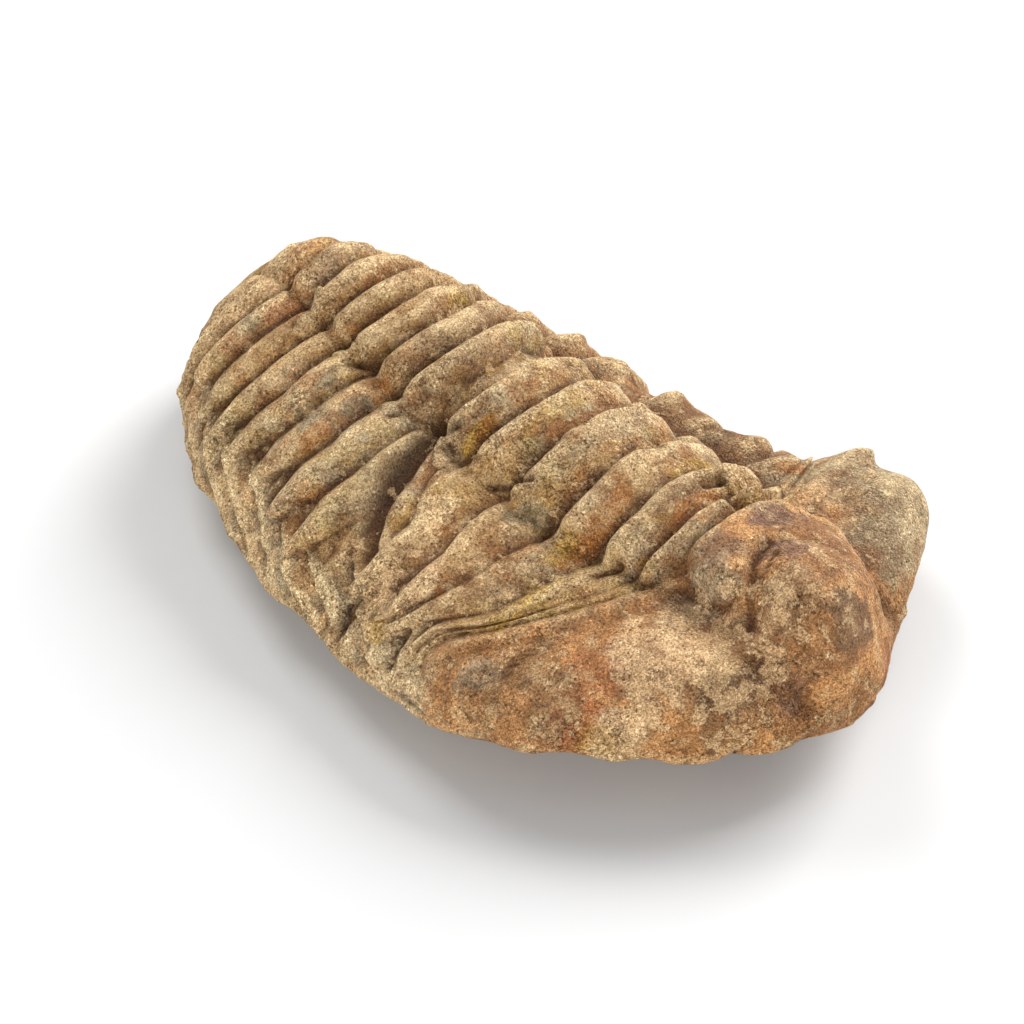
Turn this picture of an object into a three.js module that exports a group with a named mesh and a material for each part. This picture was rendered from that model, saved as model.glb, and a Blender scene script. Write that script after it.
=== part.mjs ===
// A trilobite turned to stone: one loose, solid piece lying on its belly.
//
// Millimetres, +Z up. The stone lies along Y, head at -Y and tail at +Y, with the animal's
// right side at -X. Its body is a loft of cross-sections. A point on it is named by its
// station y along the body and its girth, the angle round the section in degrees:
// 0 on the crest, -90 on the right margin, +90 on the left margin and 180 underneath.
// Rings, ribs, lobes and furrows are then raised or sunk outward from that body.
import * as THREE from "three";
import { mergeVertices } from "three/addons/utils/BufferGeometryUtils.js";

// ---- mesh density ----
const HEAD_ROWS = 23;
const NECK_ROWS = 3;
const SEGMENT_ROWS = 6; // half of them on the short rear slope of a segment
const TAIL_ROWS = 6;
const AXIS_COLUMNS = 5;
const FLANK_COLUMNS = 9;
const BELLY_COLUMNS = 6;

// ---- body sections ----
// [station y, half width, crown height of the flanks, height of the margin,
//  rise of the axial lobe, its half width, its centre x,
//  widening of the left side (a fraction), lift of the left margin, height of the floor]
const STATIONS = [
  [-37.2, 0.0, 9.4, 7.2, 0.0, 4.0, 1.5, 0.0, 0.8, 5.4],
  [-35.0, 7.6, 11.6, 5.4, 1.0, 5.8, 1.8, -0.16, 0.8, 3.8],
  [-30.0, 14.2, 13.2, 5.2, 3.2, 7.4, 2.0, -0.05, 2.0, 2.4],
  [-22.0, 21.6, 13.2, 5.0, 4.0, 8.0, 1.2, 0.07, 2.8, 1.4],
  [-17.0, 24.1, 13.2, 4.2, 4.2, 8.4, 0.7, 0.03, 1.4, 0.3],
  [-12.0, 25.0, 13.2, 3.4, 4.4, 8.8, 0.2, -0.02, -0.4, -0.2],
  [0.0, 24.0, 14.6, 3.2, 4.0, 8.4, 0.0, -0.12, -1.4, -0.3],
  [6.0, 23.4, 15.1, 3.2, 3.5, 7.8, 0.0, -0.14, -1.6, -0.2],
  [12.0, 21.4, 15.5, 3.3, 2.9, 7.2, 0.0, -0.14, -1.6, 0.0],
  [22.0, 18.7, 15.7, 3.2, 2.6, 5.5, 0.0, -0.13, -1.4, 0.2],
  [30.0, 14.4, 14.9, 4.4, 2.0, 3.8, 0.0, -0.07, -1.0, 1.2],
  [35.0, 9.8, 12.3, 5.4, 0.8, 3.3, 0.0, 0.0, -0.3, 2.6],
  [38.4, 0.0, 7.0, 5.0, 0.0, 2.0, 0.0, 0.0, 0.0, 4.0],
];
const FRONT_Y = STATIONS[0][0];
const REAR_Y = STATIONS[STATIONS.length - 1][0];

// Roundness of the sections: a larger width power is squarer in plan, a smaller crown
// power is more pointed on top.
const RIGHT_WIDTH_POWER = 2.45;
const RIGHT_CROWN_POWER = 1.6;
const LEFT_WIDTH_POWER = 2.35;
const LEFT_CROWN_POWER = 1.35;
const BELLY_POWER = 2.2;
const RIGHT_AXIS_POWER = 1.4; // the axial lobe runs softly into the right flank
const LEFT_AXIS_POWER = 0.85;
const LEAN = -0.05; // the whole stone leans a little to its left, mm of height per mm of x

// ---- segments ----
// [crest y on the midline, backward sweep at the right margin, at the left margin,
//  backward bow of the ring's right end, forward bow of the left rib,
//  ring height, rib height], from the neck to the tail
const SEGMENTS = [
  [-20.3, 8.0, 5.2, 0.4, 0.6, 1.4, 0.6],
  [-16.7, 5.4, 3.6, 0.2, 1.2, 1.9, 1.1],
  [-12.0, 5.4, 1.6, 0.4, 1.6, 1.8, 1.1],
  [-7.0, 1.4, 0.7, 1.2, 1.0, 1.6, 1.2],
  [-2.6, 1.4, 0.6, 1.8, -0.6, 1.5, 1.3],
  [1.6, 0.8, 1.0, 2.0, -0.2, 1.6, 0.4],
  [4.2, 2.0, 1.7, 0.4, -0.6, 0.0, 1.6],
  [6.7, 3.8, 2.8, 1.0, -1.0, 2.1, 1.6],
  [10.4, 4.4, 2.9, 0.6, -1.8, 2.0, 1.5],
  [14.4, 4.4, 2.3, 1.0, -0.9, 2.0, 1.5],
  [18.1, 4.0, 2.0, 0.8, 0.0, 2.0, 1.5],
  [21.5, 3.2, 1.6, 0.3, -0.3, 2.0, 1.5],
  [25.9, 2.6, 0.6, 0.0, 0.4, 1.6, 1.4],
  [29.2, 1.9, 0.4, 0.0, 0.3, 1.1, 1.2],
  [32.2, 1.0, 0.2, 0.0, 0.2, 0.6, 0.8],
  [35.0, 0.8, 0.2, 0.0, 0.0, 0.3, 0.3],
];
const SWEEP_GIRTH = 60; // the girth at which the sweeps are given, deg
const SWEEP_END = 66; // ribs run straight down past this girth, deg
const SWEEP_POWER_HEAD = 1.9;
const SWEEP_POWER_TAIL = 1.4;
const SWEEP_CHANGE_Y = 5;
const RIGHT_BOW_GIRTH = 36; // the right bow starts and ends within this girth, deg
const LEFT_BOW_GIRTH = 70;
const SEGMENT_MIN_GAP = 0.9;
const CREST_SKEW = 0.26; // near the head each crest lies this far back, as a share of its segment
const SKEW_END = { none: 9, full: 3 }; // stations between which the skew comes in, mm
const RIB_TAPER = { from: 46, to: 66, narrowing: 1.1 }; // ribs narrow to a point over this girth
const CREST_POWER = { even: 2.1, skewedFront: 1.35 }; // a higher power makes a fuller ring
const LEFT_BLEND = 0.5; // right and left sweeps blend while the girth's sine is within this

// Rear edge of the head: [girth, station y]
const NECK_EDGE = [
  [0, -21.8],
  [18, -20.2],
  [32, -17.8],
  [42, -15.4],
  [54, -11.9],
  [62, -11.4],
  [75, -12.6],
  [95, -14.0],
  [180, -14.0],
];

// ---- furrows: a path of [station y, girth], half width and depth in mm ----
const HEAD_FURROWS = [
  { path: [[-21.8, -10], [-25.3, -14], [-28.6, -18], [-32.9, -26], [-36, -42]], width: 2.2, depth: 1.6 },
  { path: [[-19.5, 29], [-22, 34], [-25, 38], [-28, 46], [-30.5, 60]], width: 2, depth: 1.9 },
  { path: [[-26, 2], [-26.8, -2], [-28.4, -7], [-30.2, -13]], width: 0.9, depth: 1.1 },
  { path: [[-31.4, -2], [-32.2, -7], [-32, -12]], width: 0.8, depth: 0.4 },
  { path: [[-26.6, 8], [-28, 16], [-29.2, 22]], width: 1.1, depth: 0.5 },
];
const BODY_FURROWS = [
  { path: [[14, 23], [7.3, 25], [0.5, 27], [-6, 28], [-12, 28], [-17, 27]], width: 1, depth: 1.1 },
  { path: [[5, -13], [4.3, -20], [3.1, -30], [2.4, -39], [1.3, -48], [0.1, -54]], width: 0.9, depth: 2.2 },
];

// ---- swellings: [station y, girth, radius across, radius along, height] ----
const HEAD_SWELLINGS = [
  [-24.6, -7, 3.1, 3.0, 1.2],
  [-25.0, 22, 3.4, 3.4, 0.6],
  [-32.5, 8, 6.5, 5.0, 1.0],
  [-16.2, 47, 1.7, 1.7, 2.6],
  [-14.6, 52, 3.0, 2.6, 1.2],
  [-20.5, 54, 5.0, 5.0, 2.0],
  [-26.0, 62, 4.5, 4.5, 1.0],
  [-27.0, -38, 7.0, 6.0, 0.8],
  [-31.0, -60, 4.0, 3.5, -0.5],
];

// Raised outer ends of the segments on the left side.
const FAR_KNOBS = [
  [18.4, 28, 1.5, 1.3, 0.6],
  [13.4, 31, 1.7, 1.3, 0.7],
  [8.4, 33, 1.9, 1.4, 0.9],
  [3.8, 36, 2.0, 1.4, 1.2],
  [-1.3, 35, 2.1, 1.5, 1.3],
  [-5.6, 36, 2.1, 1.4, 1.4],
  [-9.9, 37, 2.2, 1.5, 1.5],
  [-14.3, 37, 2.2, 1.5, 1.4],
];

const CENTRING = { x: 0, y: -0.7 }; // brings the middle of the finished stone over the origin
const THORAX_SINK = 1.1; // the ribbed part lies this far under the smooth head
const HEAD_SINK = 0.2;
const HEAD_RIM = 0.3;
const HEAD_RIM_FURROW = 0.22;
const RIM_PLACE = { middle: 0.8, width: 0.8 }; // mm ahead of the head's rear edge
const RIM_FURROW_PLACE = { middle: 2.6, width: 1.0 };
const RIM_FURROW_GIRTH = 12; // the rim furrow reaches its full depth at this girth, deg
const HEAD_EDGE = { behind: -0.6, ahead: 0.5 }; // mm over which ribs pass into the head
const TAIL_TIP = { from: 35.5, to: 38.2 }; // relief fades out between these stations, mm
const TAIL_CALM = { from: 31, to: 35.5, share: 0.75 }; // rings and ribs soften over these stations

// Across the axial lobe places are given in axial half widths.
const AXIS_EDGE = { inner: 0.78, outer: 1.12 }; // where rings pass into ribs
const RIB_START = { from: 0.84, full: 1.14 };
const RING_END = { middle: 0.92, right: 0.26, left: 0.15, place: 0.78, width: 0.2 };
const AXIAL_FURROW = { depth: 0.4, place: 1.04, width: 0.13, fadeFrom: 5, fadeTo: 29 };

// Down the flanks places are given as girths, in degrees.
const RIB_FADE = { from: 55, to: 84, share: 0.6 };
const RIB_TIP = { from: 59, to: 65, share: 0.6 }; // the ribs run out in flat plates past this
const BACK_EDGE = { from: 84, to: 98 }; // the relief of the back ends over this girth

// Rocky lumps underneath: mm of height, waves in radians per mm.
const BELLY_WAVES = { height: 0.35, alongX: 0.42, alongY: 0.37, startX: 1.3, startY: 0.4 };
const BELLY_RIPPLE = { height: 0.25, alongX: 0.8, alongY: -0.55 };
const BELLY_REST = { from: 0.4, to: 1.6 }; // lumps fade out below this height, mm

const SPINE = { front: -24, rear: 26, height: 6 }; // relief is raised away from this line
const MARGIN_GIRTH = 92; // the mesh's flank columns end here, deg
const AXIS_COLUMN_EDGE = 1.06; // the axial columns end this far out, in axial half widths
const AXIS_SHARE_MAX = 0.6; // but never past this share of the half width

const rad = THREE.MathUtils.degToRad;
const deg = THREE.MathUtils.radToDeg;
const clamp = THREE.MathUtils.clamp;
const step = THREE.MathUtils.smoothstep;
const bell = (x) => Math.exp(-x * x);

/** A smooth curve through points that never overshoots them (monotone cubic). */
function smoothCurve(xs, values) {
  const slopes = xs.slice(1).map((x, i) => (values[i + 1] - values[i]) / (x - xs[i]));
  const last = xs.length - 1;
  const tangents = xs.map((x, i) => {
    if (i === 0) return slopes[0];
    if (i === last) return slopes[last - 1];
    const before = slopes[i - 1];
    const after = slopes[i];
    return before * after <= 0 ? 0 : (2 * before * after) / (before + after);
  });
  return (x) => {
    const inside = clamp(x, xs[0], xs[last]);
    let i = 0;
    while (i < last - 1 && inside > xs[i + 1]) i += 1;
    const width = xs[i + 1] - xs[i];
    const t = (inside - xs[i]) / width;
    const rest = 1 - t;
    return (
      values[i] * (1 + 2 * t) * rest * rest +
      values[i + 1] * t * t * (1 + 2 * rest) +
      width * t * rest * (tangents[i] * rest - tangents[i + 1] * t)
    );
  };
}

const stationYs = STATIONS.map((row) => row[0]);
const stationCurve = (column) => smoothCurve(stationYs, STATIONS.map((row) => row[column]));
const halfWidthSquared = smoothCurve(stationYs, STATIONS.map((row) => row[1] ** 2));
const halfWidth = (y) => Math.sqrt(Math.max(halfWidthSquared(y), 0));
const crownHeight = stationCurve(2);
const marginHeight = stationCurve(3);
const axisRise = stationCurve(4);
const axisHalfWidth = stationCurve(5);
const axisCentre = stationCurve(6);
const leftWidening = stationCurve(7);
const leftLift = stationCurve(8);
const floorHeight = stationCurve(9);
const neckEdge = smoothCurve(NECK_EDGE.map((row) => row[0]), NECK_EDGE.map((row) => row[1]));

/** How far a point lies from the middle of the axial lobe, 1 at the lobe's edge. */
const axisOffset = (x, y) => Math.abs(x - axisCentre(y)) / axisHalfWidth(y);

/** The plain body, before any relief. */
function bodyPoint(y, girth) {
  const left = girth > 0;
  const sine = Math.sin(rad(girth));
  const cosine = Math.cos(rad(girth));
  const widthPower = left ? LEFT_WIDTH_POWER : RIGHT_WIDTH_POWER;
  const crownPower = left ? LEFT_CROWN_POWER : RIGHT_CROWN_POWER;
  const width = halfWidth(y) * (left ? 1 + leftWidening(y) : 1);
  const margin = marginHeight(y) + (left ? leftLift(y) : 0);
  const x = width * Math.sign(sine) * Math.abs(sine) ** (2 / widthPower);
  if (cosine < 0) {
    const drop = (margin - floorHeight(y)) * (-cosine) ** (2 / BELLY_POWER);
    return new THREE.Vector3(x, y, Math.max(margin - drop + LEAN * x, 0));
  }
  const flank = margin + (crownHeight(y) - margin) * cosine ** (2 / crownPower);
  const inAxis = Math.max(1 - axisOffset(x, y) ** 2, 0) ** (left ? LEFT_AXIS_POWER : RIGHT_AXIS_POWER);
  return new THREE.Vector3(x, y, flank + axisRise(y) * inAxis + LEAN * x);
}

/** Unit direction from the inner spine line out through a point. */
function outward(point) {
  const onSpine = new THREE.Vector3(0, clamp(point.y, SPINE.front, SPINE.rear), SPINE.height);
  return point.clone().sub(onSpine).normalize();
}

/** Stations at which the head's rear edge and then each segment's crest cross a girth. */
function crestStations(girth) {
  const angle = Math.min(Math.abs(girth), 180);
  const swept = Math.min(angle, SWEEP_END) / SWEEP_GIRTH;
  const leftShare = step(Math.sin(rad(girth)), -LEFT_BLEND, LEFT_BLEND);
  const rightArch = (1 - leftShare) * Math.sin(Math.PI * Math.min(angle / RIGHT_BOW_GIRTH, 1));
  const leftArch = leftShare * Math.sin(Math.PI * Math.min(angle / LEFT_BOW_GIRTH, 1));
  const crests = [neckEdge(angle)];
  for (const [middle, rightSweep, leftSweep, rightBow, leftBow] of SEGMENTS) {
    const power = middle < SWEEP_CHANGE_Y ? SWEEP_POWER_HEAD : SWEEP_POWER_TAIL;
    const sweep = THREE.MathUtils.lerp(rightSweep, leftSweep, leftShare) * swept ** power;
    const crest = middle + sweep + rightBow * rightArch - leftBow * leftArch;
    crests.push(Math.max(crest, crests[crests.length - 1] + SEGMENT_MIN_GAP));
  }
  return crests;
}

/** Where a station lies among the crests: a whole number on a crest, a half in a furrow. */
function segmentPhase(y, crests) {
  const last = crests.length - 1;
  let i = 0;
  while (i < last - 1 && y > crests[i + 1]) i += 1;
  return clamp(i + (y - crests[i]) / (crests[i + 1] - crests[i]), 0, last);
}

/** Share of a segment between its crest and the furrow behind it. */
const rearShare = (y) => 0.5 - CREST_SKEW * step(-y, -SKEW_END.none, -SKEW_END.full);

/** Height of a ring or rib at an offset from its crest, as a share of its full height. */
function segmentShape(offset, rear, narrowing) {
  const behindCrest = offset > 0;
  const away = (Math.abs(offset) / (behindCrest ? rear : 1 - rear)) * narrowing;
  const skewed = (0.5 - rear) / CREST_SKEW;
  const frontPower = THREE.MathUtils.lerp(CREST_POWER.even, CREST_POWER.skewedFront, skewed);
  return Math.max(1 - away ** (behindCrest ? CREST_POWER.even : frontPower), 0);
}

/** Distance from a point to a path given as stations and girths. */
function distanceToPath(point, path) {
  const corners = path.map(([y, girth]) => bodyPoint(y, girth));
  const nearest = new THREE.Vector3();
  const distances = corners.slice(1).map((corner, i) => {
    new THREE.Line3(corners[i], corner).closestPointToPoint(point, true, nearest);
    return nearest.distanceTo(point);
  });
  return Math.min(...distances);
}

const furrowSum = (point, furrows) =>
  furrows.reduce((sum, f) => sum - f.depth * bell(distanceToPath(point, f.path) / f.width), 0);

function swellingSum(point, swellings) {
  return swellings.reduce((sum, [y, girth, across, along, height]) => {
    const away = point.clone().sub(bodyPoint(y, girth));
    const spread = Math.hypot(away.x, away.z) / across;
    return sum + height * Math.exp(-(spread ** 2) - (away.y / along) ** 2);
  }, 0);
}

/** Height of a ring across the axial lobe, swollen near its ends. */
function ringProfile(across, girth) {
  const swelling = girth < 0 ? RING_END.right : RING_END.left;
  return RING_END.middle + swelling * bell((across - RING_END.place) / RING_END.width);
}

/** Height of a rib down the flank, as a share of its full height. */
function ribProfile(across, flank) {
  const start = step(across, RIB_START.from, RIB_START.full);
  const fade = 1 - RIB_FADE.share * step(flank, RIB_FADE.from, RIB_FADE.to);
  const tip = 1 - RIB_TIP.share * step(flank, RIB_TIP.from, RIB_TIP.to);
  return start * fade * tip;
}

/** Depth of the furrow along the side of the axial lobe. */
function axialFurrow(across, y) {
  const fade = 1 - step(y, AXIAL_FURROW.fadeFrom, AXIAL_FURROW.fadeTo);
  return AXIAL_FURROW.depth * bell((across - AXIAL_FURROW.place) / AXIAL_FURROW.width) * fade;
}

/** Rings on the axial lobe and ribs on the flanks, mm above the body. */
function thoraxRelief(point, girth) {
  const phase = segmentPhase(point.y, crestStations(girth));
  const rear = rearShare(point.y);
  const nearest = clamp(Math.ceil(phase - rear), 0, SEGMENTS.length);
  const [ringHeight, ribHeight] = nearest === 0 ? [0, 0] : SEGMENTS[nearest - 1].slice(5);
  const across = axisOffset(point.x, point.y);
  const onAxis = 1 - step(across, AXIS_EDGE.inner, AXIS_EDGE.outer);
  const flank = Math.abs(girth);
  const ring = ringHeight * ringProfile(across, girth);
  const rib = ribHeight * ribProfile(across, flank);
  const narrowing = 1 + RIB_TAPER.narrowing * step(flank, RIB_TAPER.from, RIB_TAPER.to) * (1 - onAxis);
  const shape = segmentShape(phase - nearest, rear, narrowing);
  const towardTail = 1 - TAIL_CALM.share * step(point.y, TAIL_CALM.from, TAIL_CALM.to);
  const segments = shape * (onAxis * ring + (1 - onAxis) * rib) * towardTail;
  const details = furrowSum(point, BODY_FURROWS) + swellingSum(point, FAR_KNOBS);
  return segments - axialFurrow(across, point.y) - THORAX_SINK + details;
}

/** The head's rim, lobes, furrows and eye, mm above the body. */
function headRelief(point, girth, aheadOfEdge) {
  const rim = HEAD_RIM * bell((aheadOfEdge - RIM_PLACE.middle) / RIM_PLACE.width);
  const groove = bell((aheadOfEdge - RIM_FURROW_PLACE.middle) / RIM_FURROW_PLACE.width);
  const rimFurrow = HEAD_RIM_FURROW * groove * step(Math.abs(girth), 0, RIM_FURROW_GIRTH);
  const forms = furrowSum(point, HEAD_FURROWS) + swellingSum(point, HEAD_SWELLINGS);
  return rim - rimFurrow - HEAD_SINK + forms;
}

/** Low rocky lumps under the stone, fading out where it rests. */
function bellyRelief(point) {
  const waveX = Math.sin(BELLY_WAVES.alongX * point.x + BELLY_WAVES.startX);
  const waveY = Math.sin(BELLY_WAVES.alongY * point.y + BELLY_WAVES.startY);
  const ripple = Math.sin(BELLY_RIPPLE.alongX * point.x + BELLY_RIPPLE.alongY * point.y);
  const lumps = BELLY_WAVES.height * waveX * waveY + BELLY_RIPPLE.height * ripple;
  return lumps * step(point.z, BELLY_REST.from, BELLY_REST.to);
}

/** A point of the finished surface. */
function surfacePoint(y, girth) {
  const point = bodyPoint(y, girth);
  const aheadOfEdge = neckEdge(Math.min(Math.abs(girth), 180)) - y;
  const inHead = step(aheadOfEdge, HEAD_EDGE.behind, HEAD_EDGE.ahead);
  const onBack = 1 - step(Math.abs(girth), BACK_EDGE.from, BACK_EDGE.to);
  let relief = bellyRelief(point) * (1 - onBack);
  if (onBack > 0 && inHead > 0) relief += onBack * inHead * headRelief(point, girth, aheadOfEdge);
  if (onBack > 0 && inHead < 1) relief += onBack * (1 - inHead) * thoraxRelief(point, girth);
  relief *= 1 - step(y, TAIL_TIP.from, TAIL_TIP.to);
  const moved = point.clone().addScaledVector(outward(point), relief);
  moved.z = Math.max(moved.z, 0);
  return moved;
}

/** Girth of a mesh column. Columns crowd on the axial lobe and line its edges. */
function columnGirth(column, y) {
  const side = Math.sign(column);
  const index = Math.abs(column);
  const edge = AXIS_COLUMN_EDGE * axisHalfWidth(y);
  const edgeShare = Math.min(edge / Math.max(halfWidth(y), edge), AXIS_SHARE_MAX);
  const axisEdge = deg(Math.asin(edgeShare ** (RIGHT_WIDTH_POWER / 2)));
  if (index <= AXIS_COLUMNS) return side * axisEdge * (index / AXIS_COLUMNS);
  const flank = (index - AXIS_COLUMNS) / FLANK_COLUMNS;
  if (flank <= 1) return side * (axisEdge + (MARGIN_GIRTH - axisEdge) * flank);
  const belly = (index - AXIS_COLUMNS - FLANK_COLUMNS) / BELLY_COLUMNS;
  return side * (MARGIN_GIRTH + (180 - MARGIN_GIRTH) * belly);
}

/** Place of a mesh row within a segment, so that the middle row lies in the furrow. */
const rowShare = (share, furrow) =>
  share < 0.5 ? 2 * share * furrow : furrow + (2 * share - 1) * (1 - furrow);

/** Stations of all mesh rows at one girth, from the head's tip to the tail's tip. */
function rowStations(girth) {
  const crests = crestStations(girth);
  const rows = [];
  for (let i = 0; i < HEAD_ROWS; i += 1) {
    const run = 1 - Math.cos((Math.PI / 2) * (i / HEAD_ROWS));
    rows.push(FRONT_Y + (crests[0] - FRONT_Y) * run);
  }
  crests.slice(1).forEach((crest, i) => {
    const count = i === 0 ? NECK_ROWS : SEGMENT_ROWS;
    const furrow = i === 0 ? 0.5 : rearShare(crests[i]);
    for (let j = 0; j < count; j += 1) {
      rows.push(crests[i] + (crest - crests[i]) * rowShare(j / count, furrow));
    }
  });
  const lastCrest = crests[crests.length - 1];
  for (let i = 0; i <= TAIL_ROWS; i += 1) {
    const run = Math.sin((Math.PI / 2) * (i / TAIL_ROWS));
    rows.push(lastCrest + (REAR_Y - lastCrest) * run);
  }
  return rows;
}

/** The whole stone: a sphere's rows and columns laid over the surface. */
function buildStone() {
  const middleStation = 0;
  const columns = AXIS_COLUMNS + FLANK_COLUMNS + BELLY_COLUMNS;
  const rows = rowStations(0).length - 1;
  const sphere = new THREE.SphereGeometry(1, 2 * columns, rows, -Math.PI / 2);
  const position = sphere.getAttribute("position");
  for (let column = -columns; column <= columns; column += 1) {
    const roughStations = rowStations(columnGirth(column, middleStation));
    for (let row = 0; row <= rows; row += 1) {
      const girth = columnGirth(column, roughStations[row]);
      const atEnd = row === 0 || row === rows;
      const point = surfacePoint(rowStations(girth)[row], atEnd ? 0 : girth);
      const index = (rows - row) * (2 * columns + 1) + column + columns;
      position.setXYZ(index, point.x, point.y, point.z);
    }
  }
  sphere.deleteAttribute("uv");
  sphere.deleteAttribute("normal");
  const stone = mergeVertices(sphere, 1e-4);
  stone.translate(CENTRING.x, CENTRING.y, 0);
  stone.computeVertexNormals();
  return stone;
}

const stoneMaterial = new THREE.MeshStandardMaterial({
  color: new THREE.Color(0.56, 0.43, 0.29),
  roughness: 0.92,
  metalness: 0,
});

const stone = new THREE.Mesh(buildStone(), stoneMaterial);
stone.name = "trilobite_fossil";

const model = new THREE.Group();
model.add(stone);

export default model;
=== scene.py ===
"""Looks of a trilobite fossil: one loose piece of sandy, iron-stained stone on a pale floor."""
import logging
import math
from dataclasses import dataclass, field
from enum import Enum

import bmesh
import bpy
import numpy as np
from mathutils import Matrix, Vector


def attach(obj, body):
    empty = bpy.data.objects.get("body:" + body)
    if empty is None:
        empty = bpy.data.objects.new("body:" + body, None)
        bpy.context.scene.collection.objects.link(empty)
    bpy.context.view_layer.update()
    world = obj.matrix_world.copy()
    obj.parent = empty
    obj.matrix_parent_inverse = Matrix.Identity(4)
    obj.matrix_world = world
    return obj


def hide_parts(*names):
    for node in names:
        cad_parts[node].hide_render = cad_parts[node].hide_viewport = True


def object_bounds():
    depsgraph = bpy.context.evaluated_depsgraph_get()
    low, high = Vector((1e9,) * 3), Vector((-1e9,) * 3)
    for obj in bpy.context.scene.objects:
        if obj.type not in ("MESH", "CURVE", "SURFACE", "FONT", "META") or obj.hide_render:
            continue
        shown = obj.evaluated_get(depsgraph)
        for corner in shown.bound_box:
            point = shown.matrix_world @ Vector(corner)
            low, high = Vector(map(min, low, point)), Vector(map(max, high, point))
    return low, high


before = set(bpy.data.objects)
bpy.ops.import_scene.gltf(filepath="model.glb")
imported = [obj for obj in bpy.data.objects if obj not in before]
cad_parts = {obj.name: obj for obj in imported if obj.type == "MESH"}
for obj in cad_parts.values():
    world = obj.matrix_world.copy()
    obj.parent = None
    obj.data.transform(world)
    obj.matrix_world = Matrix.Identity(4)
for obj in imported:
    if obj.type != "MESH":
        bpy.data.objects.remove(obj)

CAD_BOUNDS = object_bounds()
LOG = logging.getLogger("trilobite")
Array = np.ndarray
Socket = bpy.types.NodeSocket
Span = tuple[float, float]
Path = tuple[Span, ...]
MM = 0.001
NODE = "trilobite_fossil"
SLOT = "fossil_stone"
HALF_TURN = 180.0
FLAKE_EDGE = 0.3
STAIN_RAGGED = 0.8
STAIN_EDGE = (0.75, 1.15)
NOISE_ROUGHNESS = 0.65
SCREEN_WHITE = 255.0
SCREEN_GAMMA = 2.2
NOISE_SHIFT = 31.7
HASH_STEPS = (73856093, 19349663, 83492791)
HASH_SEED = 2654435
HASH_ROUNDS = ((13, 1274126177), (15, 668265263))
HASH_MASK = 0x7FFFFFFF
VALUE_MASK = 0xFFFFFF


# ---------------------------------------------------------------- small maths


def smooth_step(low: float, high: float, x: Array) -> Array:
    """Ease from 0 at low to 1 at high, whichever of the two is the larger."""
    t = np.clip((x - low) / (high - low), 0.0, 1.0)
    return t * t * (3.0 - 2.0 * t)


def bell(x: Array, middle: float = 0.0, width: float = 1.0) -> Array:
    """Round hump that is 1 at its middle and fades over its width on both sides."""
    return np.exp(-(((x - middle) / width) ** 2))


class SmoothCurve:
    """A smooth curve through points that never overshoots them."""

    def __init__(self, xs: Array, values: Array) -> None:
        """Work out the tangents of a monotone cubic.

        Args:
            xs: Places of the points, rising.
            values: Value at each place.
        """
        self.xs = np.asarray(xs, float)
        self.values = np.asarray(values, float)
        slopes = np.diff(self.values) / np.diff(self.xs)
        before, after = slopes[:-1], slopes[1:]
        same_way = before * after > 0
        total = np.where(same_way, before + after, 1.0)
        inner = np.where(same_way, 2.0 * before * after / total, 0.0)
        self.tangents = np.concatenate([slopes[:1], inner, slopes[-1:]])

    def __call__(self, x: Array) -> Array:
        """Read the curve.

        Args:
            x: Places to read it at.

        Returns:
            The value at each place, held beyond the ends.
        """
        inside = np.clip(x, self.xs[0], self.xs[-1])
        i = np.clip(np.searchsorted(self.xs, inside) - 1, 0, len(self.xs) - 2)
        width = self.xs[i + 1] - self.xs[i]
        t = (inside - self.xs[i]) / width
        rest = 1.0 - t
        ends = self.values[i] * (1 + 2 * t) * rest**2 + self.values[i + 1] * t**2 * (1 + 2 * rest)
        return ends + width * t * rest * (self.tangents[i] * rest - self.tangents[i + 1] * t)


def lattice_noise(points: Array, size: float, seed: int) -> Array:
    """Smooth random values, the same on every run.

    Args:
        points: Places in mm, one row each.
        size: Width of one lump in mm.
        seed: Which of the patterns to use.

    Returns:
        One value from -1 to 1 for each point.
    """
    scaled = points / size + NOISE_SHIFT * (seed + 1)
    cell = np.floor(scaled).astype(np.int64)
    part = scaled - cell
    ease = part**3 * (part * (part * 6 - 15) + 10)
    total = np.zeros(len(points))
    for corner in np.ndindex(2, 2, 2):
        mixed = np.bitwise_xor.reduce((cell + corner) * HASH_STEPS, axis=1) ^ (seed * HASH_SEED)
        for shift, factor in HASH_ROUNDS:
            mixed = ((mixed ^ (mixed >> shift)) * factor) & HASH_MASK
        value = (mixed & VALUE_MASK) / (VALUE_MASK // 2) - 1.0
        total += value * np.prod(np.where(np.array(corner) == 1, ease, 1.0 - ease), axis=1)
    return total


@dataclass(frozen=True)
class Noise:
    """Layered unevenness: width of its widest lumps in mm, number of layers, and pattern."""

    size: float
    layers: int
    seed: int

    def at(self, points: Array) -> Array:
        """Add up the layers, each half the size and height of the last.

        Args:
            points: Places in mm, one row each.

        Returns:
            One value from -1 to 1 for each point.
        """
        shares = [0.5**layer for layer in range(self.layers)]
        total = np.zeros(len(points))
        for layer, share in enumerate(shares):
            total += share * lattice_noise(points, self.size * share, self.seed + layer)
        return total / sum(shares)


# ---------------------------------------------------------------- body


@dataclass(frozen=True)
class Station:
    """One cross-section of the body, in mm."""

    y: float
    half_width: float
    crown: float
    margin: float
    axis_rise: float
    axis_half: float
    axis_x: float
    left_widen: float
    left_lift: float
    floor: float


@dataclass(frozen=True)
class Segment:
    """One ring of the back with its pair of ribs, in mm."""

    middle: float
    right_sweep: float
    left_sweep: float
    right_bow: float
    left_bow: float
    ring: float
    rib: float


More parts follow.
